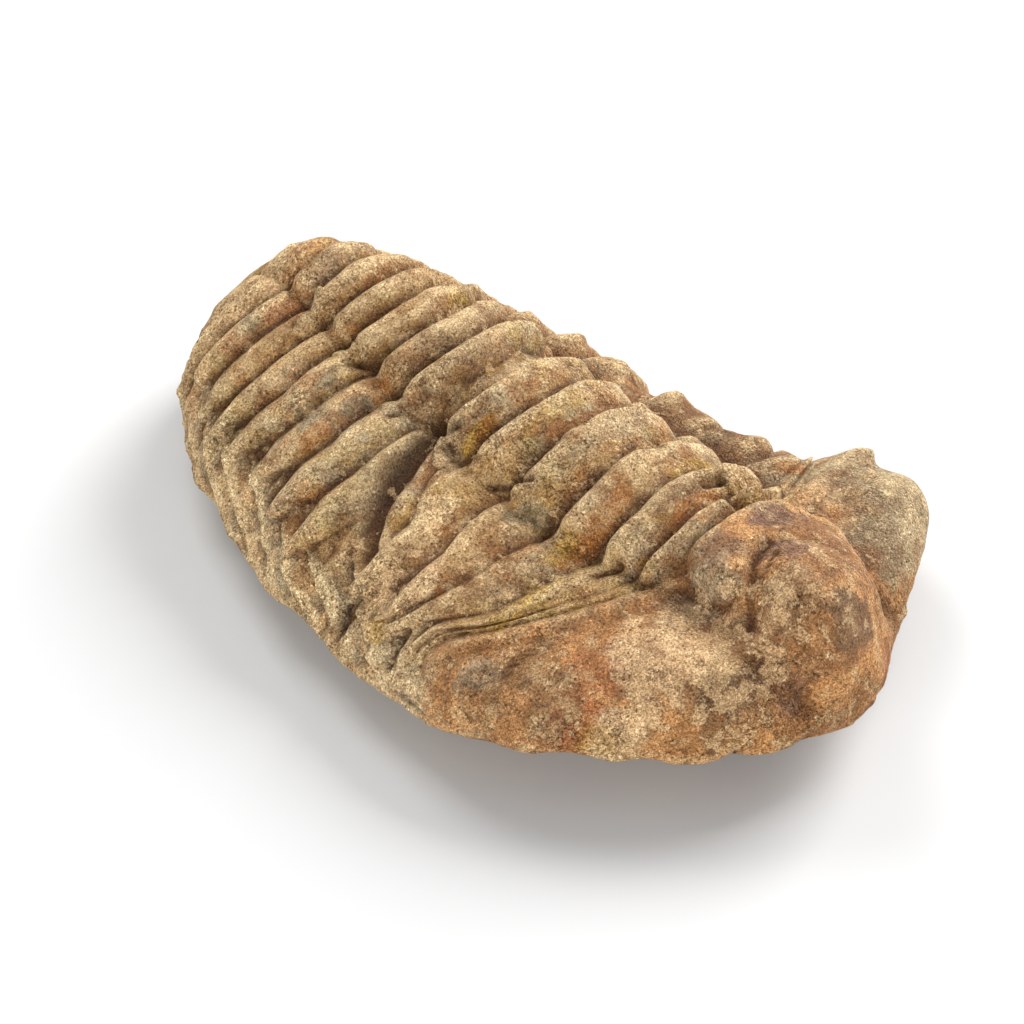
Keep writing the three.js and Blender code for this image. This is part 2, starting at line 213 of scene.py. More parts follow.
STATIONS = (
    Station(-37.2, 0.0, 9.4, 7.2, 0.0, 4.0, 1.5, 0.0, 0.8, 5.4),
    Station(-35.0, 7.6, 11.6, 5.4, 1.0, 5.8, 1.8, -0.16, 0.8, 3.8),
    Station(-30.0, 14.2, 13.2, 5.2, 3.2, 7.4, 2.0, -0.05, 2.0, 2.4),
    Station(-22.0, 21.6, 13.2, 5.0, 4.0, 8.0, 1.2, 0.07, 2.8, 1.4),
    Station(-17.0, 24.1, 13.2, 4.2, 4.2, 8.4, 0.7, 0.03, 1.4, 0.3),
    Station(-12.0, 25.0, 13.2, 3.4, 4.4, 8.8, 0.2, -0.02, -0.4, -0.2),
    Station(0.0, 24.0, 14.6, 3.2, 4.0, 8.4, 0.0, -0.12, -1.4, -0.3),
    Station(6.0, 23.4, 15.1, 3.2, 3.5, 7.8, 0.0, -0.14, -1.6, -0.2),
    Station(12.0, 21.4, 15.5, 3.3, 2.9, 7.2, 0.0, -0.14, -1.6, 0.0),
    Station(22.0, 18.7, 15.7, 3.2, 2.6, 5.5, 0.0, -0.13, -1.4, 0.2),
    Station(30.0, 14.4, 14.9, 4.4, 2.0, 3.8, 0.0, -0.07, -1.0, 1.2),
    Station(35.0, 9.8, 12.3, 5.4, 0.8, 3.3, 0.0, 0.0, -0.3, 2.6),
    Station(38.4, 0.0, 7.0, 5.0, 0.0, 2.0, 0.0, 0.0, 0.0, 4.0),
)

SEGMENTS = (
    Segment(-20.3, 8.0, 5.2, 0.4, 0.6, 1.4, 0.6),
    Segment(-16.7, 5.4, 3.6, 0.2, 1.2, 1.9, 1.1),
    Segment(-12.0, 5.4, 1.6, 0.4, 1.6, 1.8, 1.1),
    Segment(-7.0, 1.4, 0.7, 1.2, 1.0, 1.6, 1.2),
    Segment(-2.6, 1.4, 0.6, 1.8, -0.6, 1.5, 1.3),
    Segment(1.6, 0.8, 1.0, 2.0, -0.2, 1.6, 0.4),
    Segment(4.2, 2.0, 1.7, 0.4, -0.6, 0.0, 1.6),
    Segment(6.7, 3.8, 2.8, 1.0, -1.0, 2.1, 1.6),
    Segment(10.4, 4.4, 2.9, 0.6, -1.8, 2.0, 1.5),
    Segment(14.4, 4.4, 2.3, 1.0, -0.9, 2.0, 1.5),
    Segment(18.1, 4.0, 2.0, 0.8, 0.0, 2.0, 1.5),
    Segment(21.5, 3.2, 1.6, 0.3, -0.3, 2.0, 1.5),
    Segment(25.9, 2.6, 0.6, 0.0, 0.4, 1.6, 1.4),
    Segment(29.2, 1.9, 0.4, 0.0, 0.3, 1.1, 1.2),
    Segment(32.2, 1.0, 0.2, 0.0, 0.2, 0.6, 0.8),
    Segment(35.0, 0.8, 0.2, 0.0, 0.0, 0.3, 0.3),
)


@dataclass
class Body:
    """The smooth loaf under all relief, named by station y (mm) and girth (degrees)."""

    right_powers: Span = (2.45, 1.6)
    left_powers: Span = (2.35, 1.35)
    belly_power: float = 2.2
    axis_powers: Span = (1.4, 0.85)
    lean: float = -0.05
    side_blend: float = 0.5
    bow_girths: Span = (36.0, 70.0)
    sweep_girth: float = 60.0
    sweep_end: float = 66.0
    sweep_powers: Span = (1.9, 1.4)
    sweep_change_y: float = 5.0
    least_gap: float = 0.9
    spine_stations: Span = (-24.0, 26.0)
    spine_height: float = 6.0
    neck_girths: tuple[float, ...] = (0, 18, 32, 42, 54, 62, 75, 95, 180)
    neck_stations: tuple[float, ...] = (-21.8, -20.2, -17.8, -15.4, -11.9, -11.4, -12.6, -14.0, -14.0)

    def __post_init__(self) -> None:
        """Lay a smooth curve through each size of the stations."""
        ys = [s.y for s in STATIONS]
        self.front, self.rear = ys[0], ys[-1]
        self.curves = {
            name: SmoothCurve(ys, [getattr(s, name) for s in STATIONS])
            for name in Station.__dataclass_fields__
        }
        self.width_squared = SmoothCurve(ys, [s.half_width**2 for s in STATIONS])
        self.neck_curve = SmoothCurve(self.neck_girths, self.neck_stations)

    def half_width(self, y: Array) -> Array:
        """Half width of the right side at each station."""
        return np.sqrt(np.maximum(self.width_squared(y), 0.0))

    def axis_offset(self, x: Array, y: Array) -> Array:
        """Distance from the middle of the axial lobe, 1 at its edge."""
        return np.abs(x - self.curves["axis_x"](y)) / self.curves["axis_half"](y)

    def neck(self, girth: Array) -> Array:
        """Station of the head's rear edge at each girth."""
        return self.neck_curve(np.minimum(np.abs(girth), HALF_TURN))

    def point(self, y: Array, girth: Array) -> Array:
        """Place of the plain body's surface.

        Args:
            y: Stations in mm.
            girth: Angles round the section in degrees, 0 on top and negative on the right.

        Returns:
            One row of x, y and z in mm for each pair.
        """
        y, girth = np.broadcast_arrays(np.asarray(y, float), np.asarray(girth, float))
        curves = self.curves
        left = girth > 0
        sine, cosine = np.sin(np.radians(girth)), np.cos(np.radians(girth))
        width_power = np.where(left, self.left_powers[0], self.right_powers[0])
        crown_power = np.where(left, self.left_powers[1], self.right_powers[1])
        width = self.half_width(y) * np.where(left, 1.0 + curves["left_widen"](y), 1.0)
        margin = curves["margin"](y) + np.where(left, curves["left_lift"](y), 0.0)
        x = width * np.sign(sine) * np.abs(sine) ** (2.0 / width_power)
        above = np.clip(cosine, 0.0, 1.0) ** (2.0 / crown_power)
        below = np.clip(-cosine, 0.0, 1.0) ** (2.0 / self.belly_power)
        axis_power = np.where(left, self.axis_powers[1], self.axis_powers[0])
        in_axis = np.clip(1.0 - self.axis_offset(x, y) ** 2, 0.0, 1.0) ** axis_power
        top = margin + (curves["crown"](y) - margin) * above + curves["axis_rise"](y) * in_axis
        bottom = margin - (margin - curves["floor"](y)) * below
        z = np.where(cosine < 0, np.maximum(bottom + self.lean * x, 0.0), top + self.lean * x)
        return np.stack([x, y, z], axis=-1)

    def outward(self, points: Array) -> Array:
        """Directions in which relief stands out.

        Args:
            points: Places on the body in mm.

        Returns:
            Unit rows from the inner spine line out through the points.
        """
        on_spine = np.zeros_like(points)
        on_spine[:, 1] = np.clip(points[:, 1], *self.spine_stations)
        on_spine[:, 2] = self.spine_height
        away = points - on_spine
        return away / np.linalg.norm(away, axis=1, keepdims=True)

    def crests(self, girth: Array) -> Array:
        """Stations where the head's rear edge and each segment's crest cross a girth.

        Args:
            girth: Angles in degrees.

        Returns:
            One row for each girth, the neck edge first and the tail last.
        """
        angle = np.minimum(np.abs(girth), HALF_TURN)
        swept = np.minimum(angle, self.sweep_end) / self.sweep_girth
        on_left = smooth_step(-self.side_blend, self.side_blend, np.sin(np.radians(girth)))
        right_bow, left_bow = [np.sin(math.pi * np.minimum(angle / end, 1.0)) for end in self.bow_girths]
        lines = [self.neck(angle)]
        for segment in SEGMENTS:
            power = self.sweep_powers[0 if segment.middle < self.sweep_change_y else 1]
            sweep = segment.right_sweep + (segment.left_sweep - segment.right_sweep) * on_left
            line = segment.middle + sweep * swept**power
            line += segment.right_bow * (1.0 - on_left) * right_bow - segment.left_bow * on_left * left_bow
            lines.append(np.maximum(line, lines[-1] + self.least_gap))
        return np.stack(lines, axis=-1)

    def phase(self, y: Array, girth: Array) -> Array:
        """Where each point lies among the crests.

        Args:
            y: Stations in mm.
            girth: Angles in degrees.

        Returns:
            Whole numbers on the crests, halves in the furrows between them.
        """
        crests = self.crests(girth)
        last = crests.shape[1] - 1
        i = np.clip((y[:, None] > crests).sum(axis=1) - 1, 0, last - 1)
        rows = np.arange(len(y))
        start, end = crests[rows, i], crests[rows, i + 1]
        return np.clip(i + (y - start) / (end - start), 0.0, last)


@dataclass
class Spots:
    """Many places on the body, each named by its station (mm) and girth (degrees)."""

    body: Body
    y: Array
    girth: Array

    def __post_init__(self) -> None:
        """Find the places and how they lie to the axial lobe, the crests and the head's edge."""
        self.angle = np.abs(self.girth)
        self.points = self.body.point(self.y, self.girth)
        self.across = self.body.axis_offset(self.points[:, 0], self.y)
        self.phase = self.body.phase(self.y, self.girth)
        self.ahead = self.body.neck(self.girth) - self.y


# ---------------------------------------------------------------- marks on the body


@dataclass(frozen=True)
class Line:
    """A path of (station, girth) corners on the body, with its width in mm."""

    path: Path
    width: float

    def distance(self, spots: Spots) -> Array:
        """Measure how far the spots lie from the path.

        Args:
            spots: Places on the body.

        Returns:
            The distances in mm.
        """
        corners = spots.body.point(*np.transpose(self.path))
        best = np.full(len(spots.y), np.inf)
        for start, end in zip(corners[:-1], corners[1:]):
            along, away = end - start, spots.points - start
            share = np.clip(away @ along / (along @ along), 0.0, 1.0)
            best = np.minimum(best, np.linalg.norm(away - share[:, None] * along, axis=1))
        return best


@dataclass(frozen=True)
class Furrow(Line):
    """A groove along a path, with its depth in mm."""

    depth: float

    def lift(self, spots: Spots) -> Array:
        """Height of the groove at each spot, as negative mm."""
        return -self.depth * bell(self.distance(spots), 0.0, self.width)


@dataclass(frozen=True)
class Chip(Line):
    """A thin raised flake along a path, with sharp edges and its height in mm."""

    height: float

    def lift(self, spots: Spots) -> Array:
        """Height of the flake at each spot in mm."""
        return self.height * smooth_step(0.0, FLAKE_EDGE, self.width - self.distance(spots))


@dataclass(frozen=True)
class Patch:
    """A round place: station (mm), girth (degrees) and reach across and along the body (mm)."""

    y: float
    girth: float
    across: float
    along: float

    def distance(self, spots: Spots) -> Array:
        """Measure how far the spots lie from the middle of the patch.

        Args:
            spots: Places on the body.

        Returns:
            The distances, 1 at the patch's reach.
        """
        away = spots.points - spots.body.point(self.y, self.girth)
        across = np.hypot(away[:, 0], away[:, 2]) / self.across
        return np.hypot(across, away[:, 1] / self.along)


@dataclass(frozen=True)
class Swelling(Patch):
    """A rounded lump, or a hollow where its height in mm is negative."""

    height: float

    def lift(self, spots: Spots) -> Array:
        """Height of the lump at each spot in mm."""
        return self.height * bell(self.distance(spots))


def total_lift(spots: Spots, marks: tuple[Furrow | Chip | Swelling, ...]) -> Array:
    """Summed height of some marks at each spot in mm."""
    return sum(mark.lift(spots) for mark in marks)


# ---------------------------------------------------------------- relief


@dataclass
class Thorax:
    """The ringed back and ribbed flanks."""

    sink: float = 1.1
    skew: float = 0.26
    roll_stations: Span = (9.0, 3.0)
    rib_power: float = 2.1
    rolled_power: float = 1.35
    band_power: float = 0.95
    axis_edge: Span = (0.78, 1.12)
    side_blend: float = 0.2
    ring_middle: float = 0.92
    ring_ends: Span = (0.15, 0.26)
    ring_end: Span = (0.78, 0.2)
    rib_start: Span = (0.84, 1.14)
    rib_fade: Span = (55.0, 84.0)
    rib_fade_depth: float = 0.6
    tip_taper: float = 1.1
    tip_girths: Span = (46.0, 66.0)
    tail_fade: Span = (31.0, 35.5)
    tail_fade_depth: float = 0.75
    axial_furrow: float = 0.4
    axial_furrow_place: Span = (1.04, 0.13)
    axial_furrow_shallows: Span = (5.0, 20.0)
    axial_furrow_calm: float = 0.8
    axial_furrow_end: Span = (29.0, 35.0)
    streak: float = 0.16
    streak_calm: float = 0.6
    streak_scales: Span = (0.06, 4.2)
    streak_noise: Noise = Noise(1.0, 2, 51)
    plate_girth: float = 62.0
    plate_blend: float = 3.0
    plate_stations: Span = (26.0, 32.0)
    plate_length: float = 5.6
    plate_slant: float = 0.3
    plate_step: float = 0.95
    plate_low: float = 0.3
    plate_lip: float = 0.93
    plate_first: float = 40.0
    plate_drift: float = 2.8
    plate_edge_drift: float = 14.0
    plate_noise: Noise = Noise(6.0, 3, 11)
    plate_cover: float = 0.75
    gaps: tuple[Furrow, ...] = (
        Furrow(((5.0, -13), (4.3, -20), (3.1, -30), (2.4, -39), (1.3, -48), (0.1, -54)), 0.85, 1.9),
        Furrow(((-1.8, -66), (-1.8, -74), (-1.6, -84)), 0.4, 1.0),
        Furrow(((-7.9, -62), (-7.9, -71), (-7.9, -80)), 0.35, 0.8),
        Furrow(((25.1, -58), (25.0, -70), (25.1, -82)), 0.35, 0.8),
        Furrow(((15.2, -16), (14.0, -12)), 0.5, 1.0),
        Furrow(((-16.6, -18), (-17.2, -13)), 0.4, 0.9),
        Furrow(((-9.9, -19), (-9.2, -14)), 0.4, 0.9),
        Furrow(((-3.2, -17), (-6.4, -11)), 0.35, 0.8),
        Furrow(((-17.6, 3), (-17.7, 6)), 0.5, 0.9),
        Furrow(((-20.2, 4), (-20.8, 6)), 0.5, 0.9),
        Furrow(((-11.4, 1), (-11.9, 4)), 0.35, 0.7),
        Furrow(((22.4, -19), (23.2, -9)), 0.3, 0.6),
        Furrow(((14.0, 23), (7.3, 25), (0.5, 27), (-6.0, 28), (-12.0, 28), (-17.0, 27)), 0.9, 1.1),
        Furrow(((8.0, -19), (6.8, -11)), 0.3, 0.6),
    )
    knobs: tuple[Swelling, ...] = (
        Swelling(18.4, 28, 1.5, 1.3, 0.6),
        Swelling(13.4, 31, 1.7, 1.3, 0.7),
        Swelling(8.4, 33, 1.9, 1.4, 0.9),
        Swelling(3.8, 36, 2.0, 1.4, 1.2),
        Swelling(-1.3, 35, 2.1, 1.5, 1.3),
        Swelling(-5.6, 36, 2.1, 1.4, 1.4),
        Swelling(-9.9, 37, 2.2, 1.5, 1.5),
        Swelling(-14.3, 37, 2.2, 1.5, 1.4),
    )
    cracks: tuple[Furrow, ...] = (
        Furrow(((2.4, -12), (4.8, -19), (3.7, -32), (2.2, -47), (1.4, -58), (-1.0, -64)), 0.32, 0.6),
        Furrow(((-1.1, -72), (-1.3, -84)), 0.3, 0.8),
        Furrow(((-7.4, -66), (-8.8, -74)), 0.3, 0.7),
        Furrow(((-11.8, -62), (-12.6, -50)), 0.28, 0.5),
        Furrow(((-2.6, -71), (-5.2, -78)), 0.28, 0.5),
        Furrow(((27.0, -67), (23.7, -75)), 0.3, 0.6),
        Furrow(((10.2, -66), (7.4, -76), (5.0, -84)), 0.3, 0.6),
    )
    chips: tuple[Chip, ...] = (
        Chip(((21.4, -18), (22.4, -10)), 0.8, 0.6),
        Chip(((9.4, -18), (8.2, -13)), 0.6, 0.5),
        Chip(((17.4, -17), (16.2, -13)), 0.5, 0.4),
        Chip(((-3.8, -16), (-5.8, -13)), 0.55, 0.45),
        Chip(((-17.6, 9), (-20.0, 9)), 1.3, 0.45),
        Chip(((-6.5, -4), (-6.6, 2), (-6.8, 9)), 0.5, 0.4),
        Chip(((0.4, -22), (-0.6, -30)), 0.8, 0.5),
        Chip(((3.2, -16), (1.4, -20)), 0.7, 0.7),
    )

    def ribs(self, spots: Spots) -> Array:
        """Height of the rings and their ribs.

        Args:
            spots: Places on the body.

        Returns:
            The heights in mm, 0 in the furrows.
        """
        roll = smooth_step(*self.roll_stations, spots.y)
        ahead, behind = 0.5 + self.skew * roll, 0.5 - self.skew * roll
        nearest = np.clip(np.ceil(spots.phase - behind), 0, len(SEGMENTS)).astype(int)
        ring_heights = np.array([0.0] + [s.ring for s in SEGMENTS])[nearest]
        rib_heights = np.array([0.0] + [s.rib for s in SEGMENTS])[nearest]
        on_axis = 1.0 - smooth_step(*self.axis_edge, spots.across)
        right = smooth_step(self.side_blend, -self.side_blend, np.sin(np.radians(spots.girth)))
        left_end, right_end = self.ring_ends
        swelling = left_end + (right_end - left_end) * right
        ring_shape = self.ring_middle + swelling * bell(spots.across, *self.ring_end)
        rib_shape = 1.0 - self.rib_fade_depth * smooth_step(*self.rib_fade, spots.angle)
        rib_shape *= smooth_step(*self.rib_start, spots.across)
        offset = spots.phase - nearest
        away = np.where(offset < 0, -offset / ahead, offset / behind)
        away *= 1.0 + self.tip_taper * smooth_step(*self.tip_girths, spots.angle) * (1.0 - on_axis)
        rolled = self.rib_power + (self.rolled_power - self.rib_power) * roll
        power = np.where(offset < 0, rolled, self.rib_power)
        band = np.clip(1.0 - away**power, 0.0, 1.0) ** self.band_power
        heights = on_axis * ring_heights * ring_shape + (1.0 - on_axis) * rib_heights * rib_shape
        return band * heights * (1.0 - self.tail_fade_depth * smooth_step(*self.tail_fade, spots.y))

    def streaks(self, spots: Spots) -> Array:
        """Fine ridges that run along the rings and ribs, from -1 to 1."""
        along, across = self.streak_scales[0] * spots.girth, self.streak_scales[1] * spots.phase
        return self.streak_noise.at(np.stack([along, across, np.zeros_like(along)], axis=-1))

    def plates(self, spots: Spots) -> tuple[Array, Array, Array, Array]:
        """Overlapping flaky plates along the margin.

        Args:
            spots: Places on the body.

        Returns:
            The height in mm, how far each spot is in the flaky zone, the number of its plate,
            and the place of the spot between the plate's buried and raised edges.
        """
        wander = self.plate_noise.at(spots.points)
        along = spots.y + self.plate_slant * (spots.angle - self.plate_girth) + self.plate_drift * wander
        place = along / self.plate_length + self.plate_first
        number = np.floor(place)
        part = place - number
        edge = self.plate_girth - self.plate_blend, self.plate_girth + self.plate_blend
        zone = smooth_step(*edge, spots.angle + self.plate_edge_drift * wander)
        zone *= 1.0 - smooth_step(*self.plate_stations, spots.y)
        height = self.plate_step * (part * smooth_step(1.0, self.plate_lip, part) - self.plate_low)
        return height, zone, number, part

    def relief(self, spots: Spots) -> Array:
        """Height of rings, ribs, plates, gaps and flakes above the body.

        Args:
            spots: Places on the body.

        Returns:
            The heights in mm.
        """
        plate, zone, _, _ = self.plates(spots)
        heights = self.ribs(spots) * (1.0 - self.plate_cover * zone) + plate * zone
        furrow = self.axial_furrow * bell(spots.across, *self.axial_furrow_place)
        furrow *= 1.0 - self.axial_furrow_calm * smooth_step(*self.axial_furrow_shallows, spots.y)
        furrow *= 1.0 - smooth_step(*self.axial_furrow_end, spots.y)
        details = total_lift(spots, self.gaps + self.cracks + self.chips + self.knobs)
        streaks = self.streak * self.streaks(spots) * (1.0 - self.streak_calm * zone)
        return heights - furrow - self.sink + details + streaks


@dataclass
class Head:
    """The lobed head with its rim, eye and furrows."""

    sink: float = 0.2
    rim: float = 0.3
    rim_place: Span = (0.8, 0.7)
    rim_furrow: float = 0.22
    rim_furrow_place: Span = (2.6, 0.9)
    rim_furrow_start: float = 12.0
    furrows: tuple[Furrow, ...] = (
        Furrow(((-21.8, -10), (-25.3, -14), (-28.6, -18), (-32.9, -26), (-36.0, -42)), 2.2, 1.6),
        Furrow(((-19.5, 29), (-22.0, 34), (-25.0, 38), (-28.0, 46), (-30.5, 60)), 2.0, 1.9),
        Furrow(((-26.0, 2), (-26.8, -2), (-28.4, -7), (-30.2, -13)), 0.65, 1.0),
        Furrow(((-27.4, 1), (-28.4, -4), (-30.0, -9)), 0.3, 0.5),
        Furrow(((-31.4, -2), (-32.2, -7), (-32.0, -12)), 0.35, 0.4),
        Furrow(((-17.6, 36), (-20.5, 38), (-24.5, 42), (-28.0, 50)), 0.5, 0.35),
        Furrow(((-17.8, 41), (-21.5, 44), (-25.5, 49)), 0.4, 0.3),
        Furrow(((-26.6, 8), (-28, 16), (-29.2, 22)), 0.9, 0.35),
        Furrow(((-20.9, -17), (-21.4, -13), (-23.2, -10)), 0.3, 0.35),
        Furrow(((-21.6, -7), (-23.2, -11), (-25.6, -12), (-27.6, -10)), 0.7, 0.55),
        Furrow(((-18.2, -57), (-18.4, -48), (-19.0, -42)), 0.3, 0.3),
        Furrow(((-24.0, -48), (-27.5, -44), (-30.0, -47)), 0.4, 0.25),
    )
    lumps: tuple[Swelling, ...] = (
        Swelling(-24.6, -7, 3.0, 2.8, 1.3),
        Swelling(-25.0, 22, 3.4, 3.4, 0.6),
        Swelling(-32.5, 8, 6.5, 5.0, 1.0),
        Swelling(-16.2, 47, 1.5, 1.5, 2.6),
        Swelling(-14.6, 52, 3.0, 2.6, 1.2),
        Swelling(-20.5, 54, 5.0, 5.0, 2.0),
        Swelling(-26.0, 62, 4.5, 4.5, 1.0),
        Swelling(-27.0, -38, 7.0, 6.0, 0.8),
        Swelling(-31.0, -60, 4.0, 3.5, -0.5),
    )

    def relief(self, spots: Spots) -> Array:
        """Height of the head's forms above the body.

        Args:
            spots: Places on the body.

        Returns:
            The heights in mm.
        """
        rim = self.rim * bell(spots.ahead, *self.rim_place)
        groove = self.rim_furrow * bell(spots.ahead, *self.rim_furrow_place)
        groove *= smooth_step(0.0, self.rim_furrow_start, spots.angle)
        return rim - groove - self.sink + total_lift(spots, self.furrows + self.lumps)


@dataclass
class Skin:
    """Fine unevenness of the stone: lumps, creases, ledges and grains on the back, waves below."""

    uneven: Noise = Noise(4.0, 3, 21)
    uneven_height: float = 0.2
    creases: Noise = Noise(3.0, 3, 61)
    crease_height: float = 0.18
    ledges: Noise = Noise(3.6, 4, 71)
    ledge_edge: Span = (0.02, 0.12)
    ledge_height: float = 0.16
    grains: Noise = Noise(1.0, 2, 27)
    grain_height: float = 0.12
    belly: Noise = Noise(6.0, 3, 33)
    belly_height: float = 0.5
    back_calm: float = 0.6
    wave_heights: Span = (0.35, 0.25)
    long_waves: tuple[Span, Span] = ((0.42, 1.3), (0.37, 0.4))
    cross_waves: Span = (0.8, 0.55)

    def grit(self, points: Array, on_back: Array) -> Array:
        """Grit all over, calmer on the back.

        Args:
            points: Places on the body in mm.
            on_back: How far each point belongs to the calm back, from 0 to 1.

        Returns:
            The heights in mm.
        """
        creased = self.crease_height * (0.5 - np.abs(self.creases.at(points)) * 2.0)
        ledges = self.ledge_height * (smooth_step(*self.ledge_edge, self.ledges.at(points)) - 0.5)
        rough = creased + ledges + self.grain_height * self.grains.at(points)
        under = self.belly_height * self.belly.at(points) * (1.0 - on_back)
        uneven = self.uneven_height * self.uneven.at(points)
        return uneven + (1.0 - self.back_calm * on_back) * rough + under

    def waves(self, points: Array) -> Array:
        """Low waves of the underside.

        Args:
            points: Places on the body in mm.

        Returns:
            The heights in mm.
        """
        x, y = points[:, 0], points[:, 1]
        (across, start_x), (along, start_y) = self.long_waves
        long = np.sin(across * x + start_x) * np.sin(along * y + start_y)
        cross = np.sin(self.cross_waves[0] * x - self.cross_waves[1] * y)
        return self.wave_heights[0] * long + self.wave_heights[1] * cross


# ---------------------------------------------------------------- colours


def linear(red: int, green: int, blue: int) -> tuple[float, float, float]:
    """Turn a screen colour into the share of light it reflects."""
    return tuple((part / SCREEN_WHITE) ** SCREEN_GAMMA for part in (red, green, blue))


class Tone(Enum):
    """Colours of the stone and its stains."""

    TAN = linear(194, 152, 100)
    GREY = linear(164, 148, 120)
    BROWN = linear(146, 102, 62)
    # dark brown of the painted shade in hollows and gaps, partly dirt in the hollows
    FURROW = linear(92, 60, 36)
    CREAM = linear(232, 198, 146)
    PINK_CREAM = linear(220, 176, 132)
    ORANGE_TAN = linear(212, 152, 94)
    ORANGE = linear(166, 100, 42)
    YELLOW = linear(196, 154, 66)
    RUST = linear(172, 98, 58)
    HEAD = linear(186, 132, 82)
    HEAD_BROWN = linear(150, 102, 64)
    PURPLE = linear(128, 94, 76)
    BLUE_GREY = linear(118, 110, 90)
    OLIVE = linear(158, 140, 84)
    DARK = linear(104, 78, 56)
    CRACK = linear(58, 40, 28)
    PALE = linear(232, 200, 150)
    CRUST = linear(226, 186, 136)
    OCHRE = linear(178, 106, 40)
    FAR_GREY = linear(176, 156, 120)


@dataclass(frozen=True)
class Stain(Patch):
    """A patch of colour, with its tone and strength."""

    tone: Tone
    strength: float

    def cover(self, spots: Spots, ragged: Array) -> Array:
        """How strongly the stain covers each spot, its edge made ragged by an unevenness."""
        reach = self.distance(spots) + STAIN_RAGGED * ragged
        return self.strength * (1.0 - smooth_step(*STAIN_EDGE, reach))


def lay(colour: Array, tone: Tone, amount: Array) -> None:
    """Blend a tone into the colours in place."""
    colour += np.asarray(amount)[:, None] * (np.array(tone.value) - colour)


@dataclass(frozen=True)
class Blush:
    """A tone that comes in where a pattern passes from low to high."""

    tone: Tone
    strength: float
    low: float
    high: float

    def over(self, colour: Array, pattern: Array, share: Array | float = 1.0) -> None:
        """Blend a share of the tone into rows of red, green and blue where the pattern lies high."""
        lay(colour, self.tone, self.strength * share * smooth_step(self.low, self.high, pattern))


# Tone by depth, for dirt and cracks, painted shade in hollows and gaps, and painted highlight on crests
@dataclass(frozen=True)
class DepthTone:
    """A tone that grows with depth: strength per mm, its swing with the specks, and its limit."""

    tone: Tone
    strength: float
    swing: float
    limit: float

    def over(
        self, colour: Array, depth: Array, speck: Array | float = 0.0, share: Array | float = 1.0
    ) -> None:
        """Blend a share of the tone into rows of red, green and blue by their depth in mm."""
        amount = np.clip((self.strength + self.swing * speck) * depth, 0.0, self.limit)
        lay(colour, self.tone, amount * share)


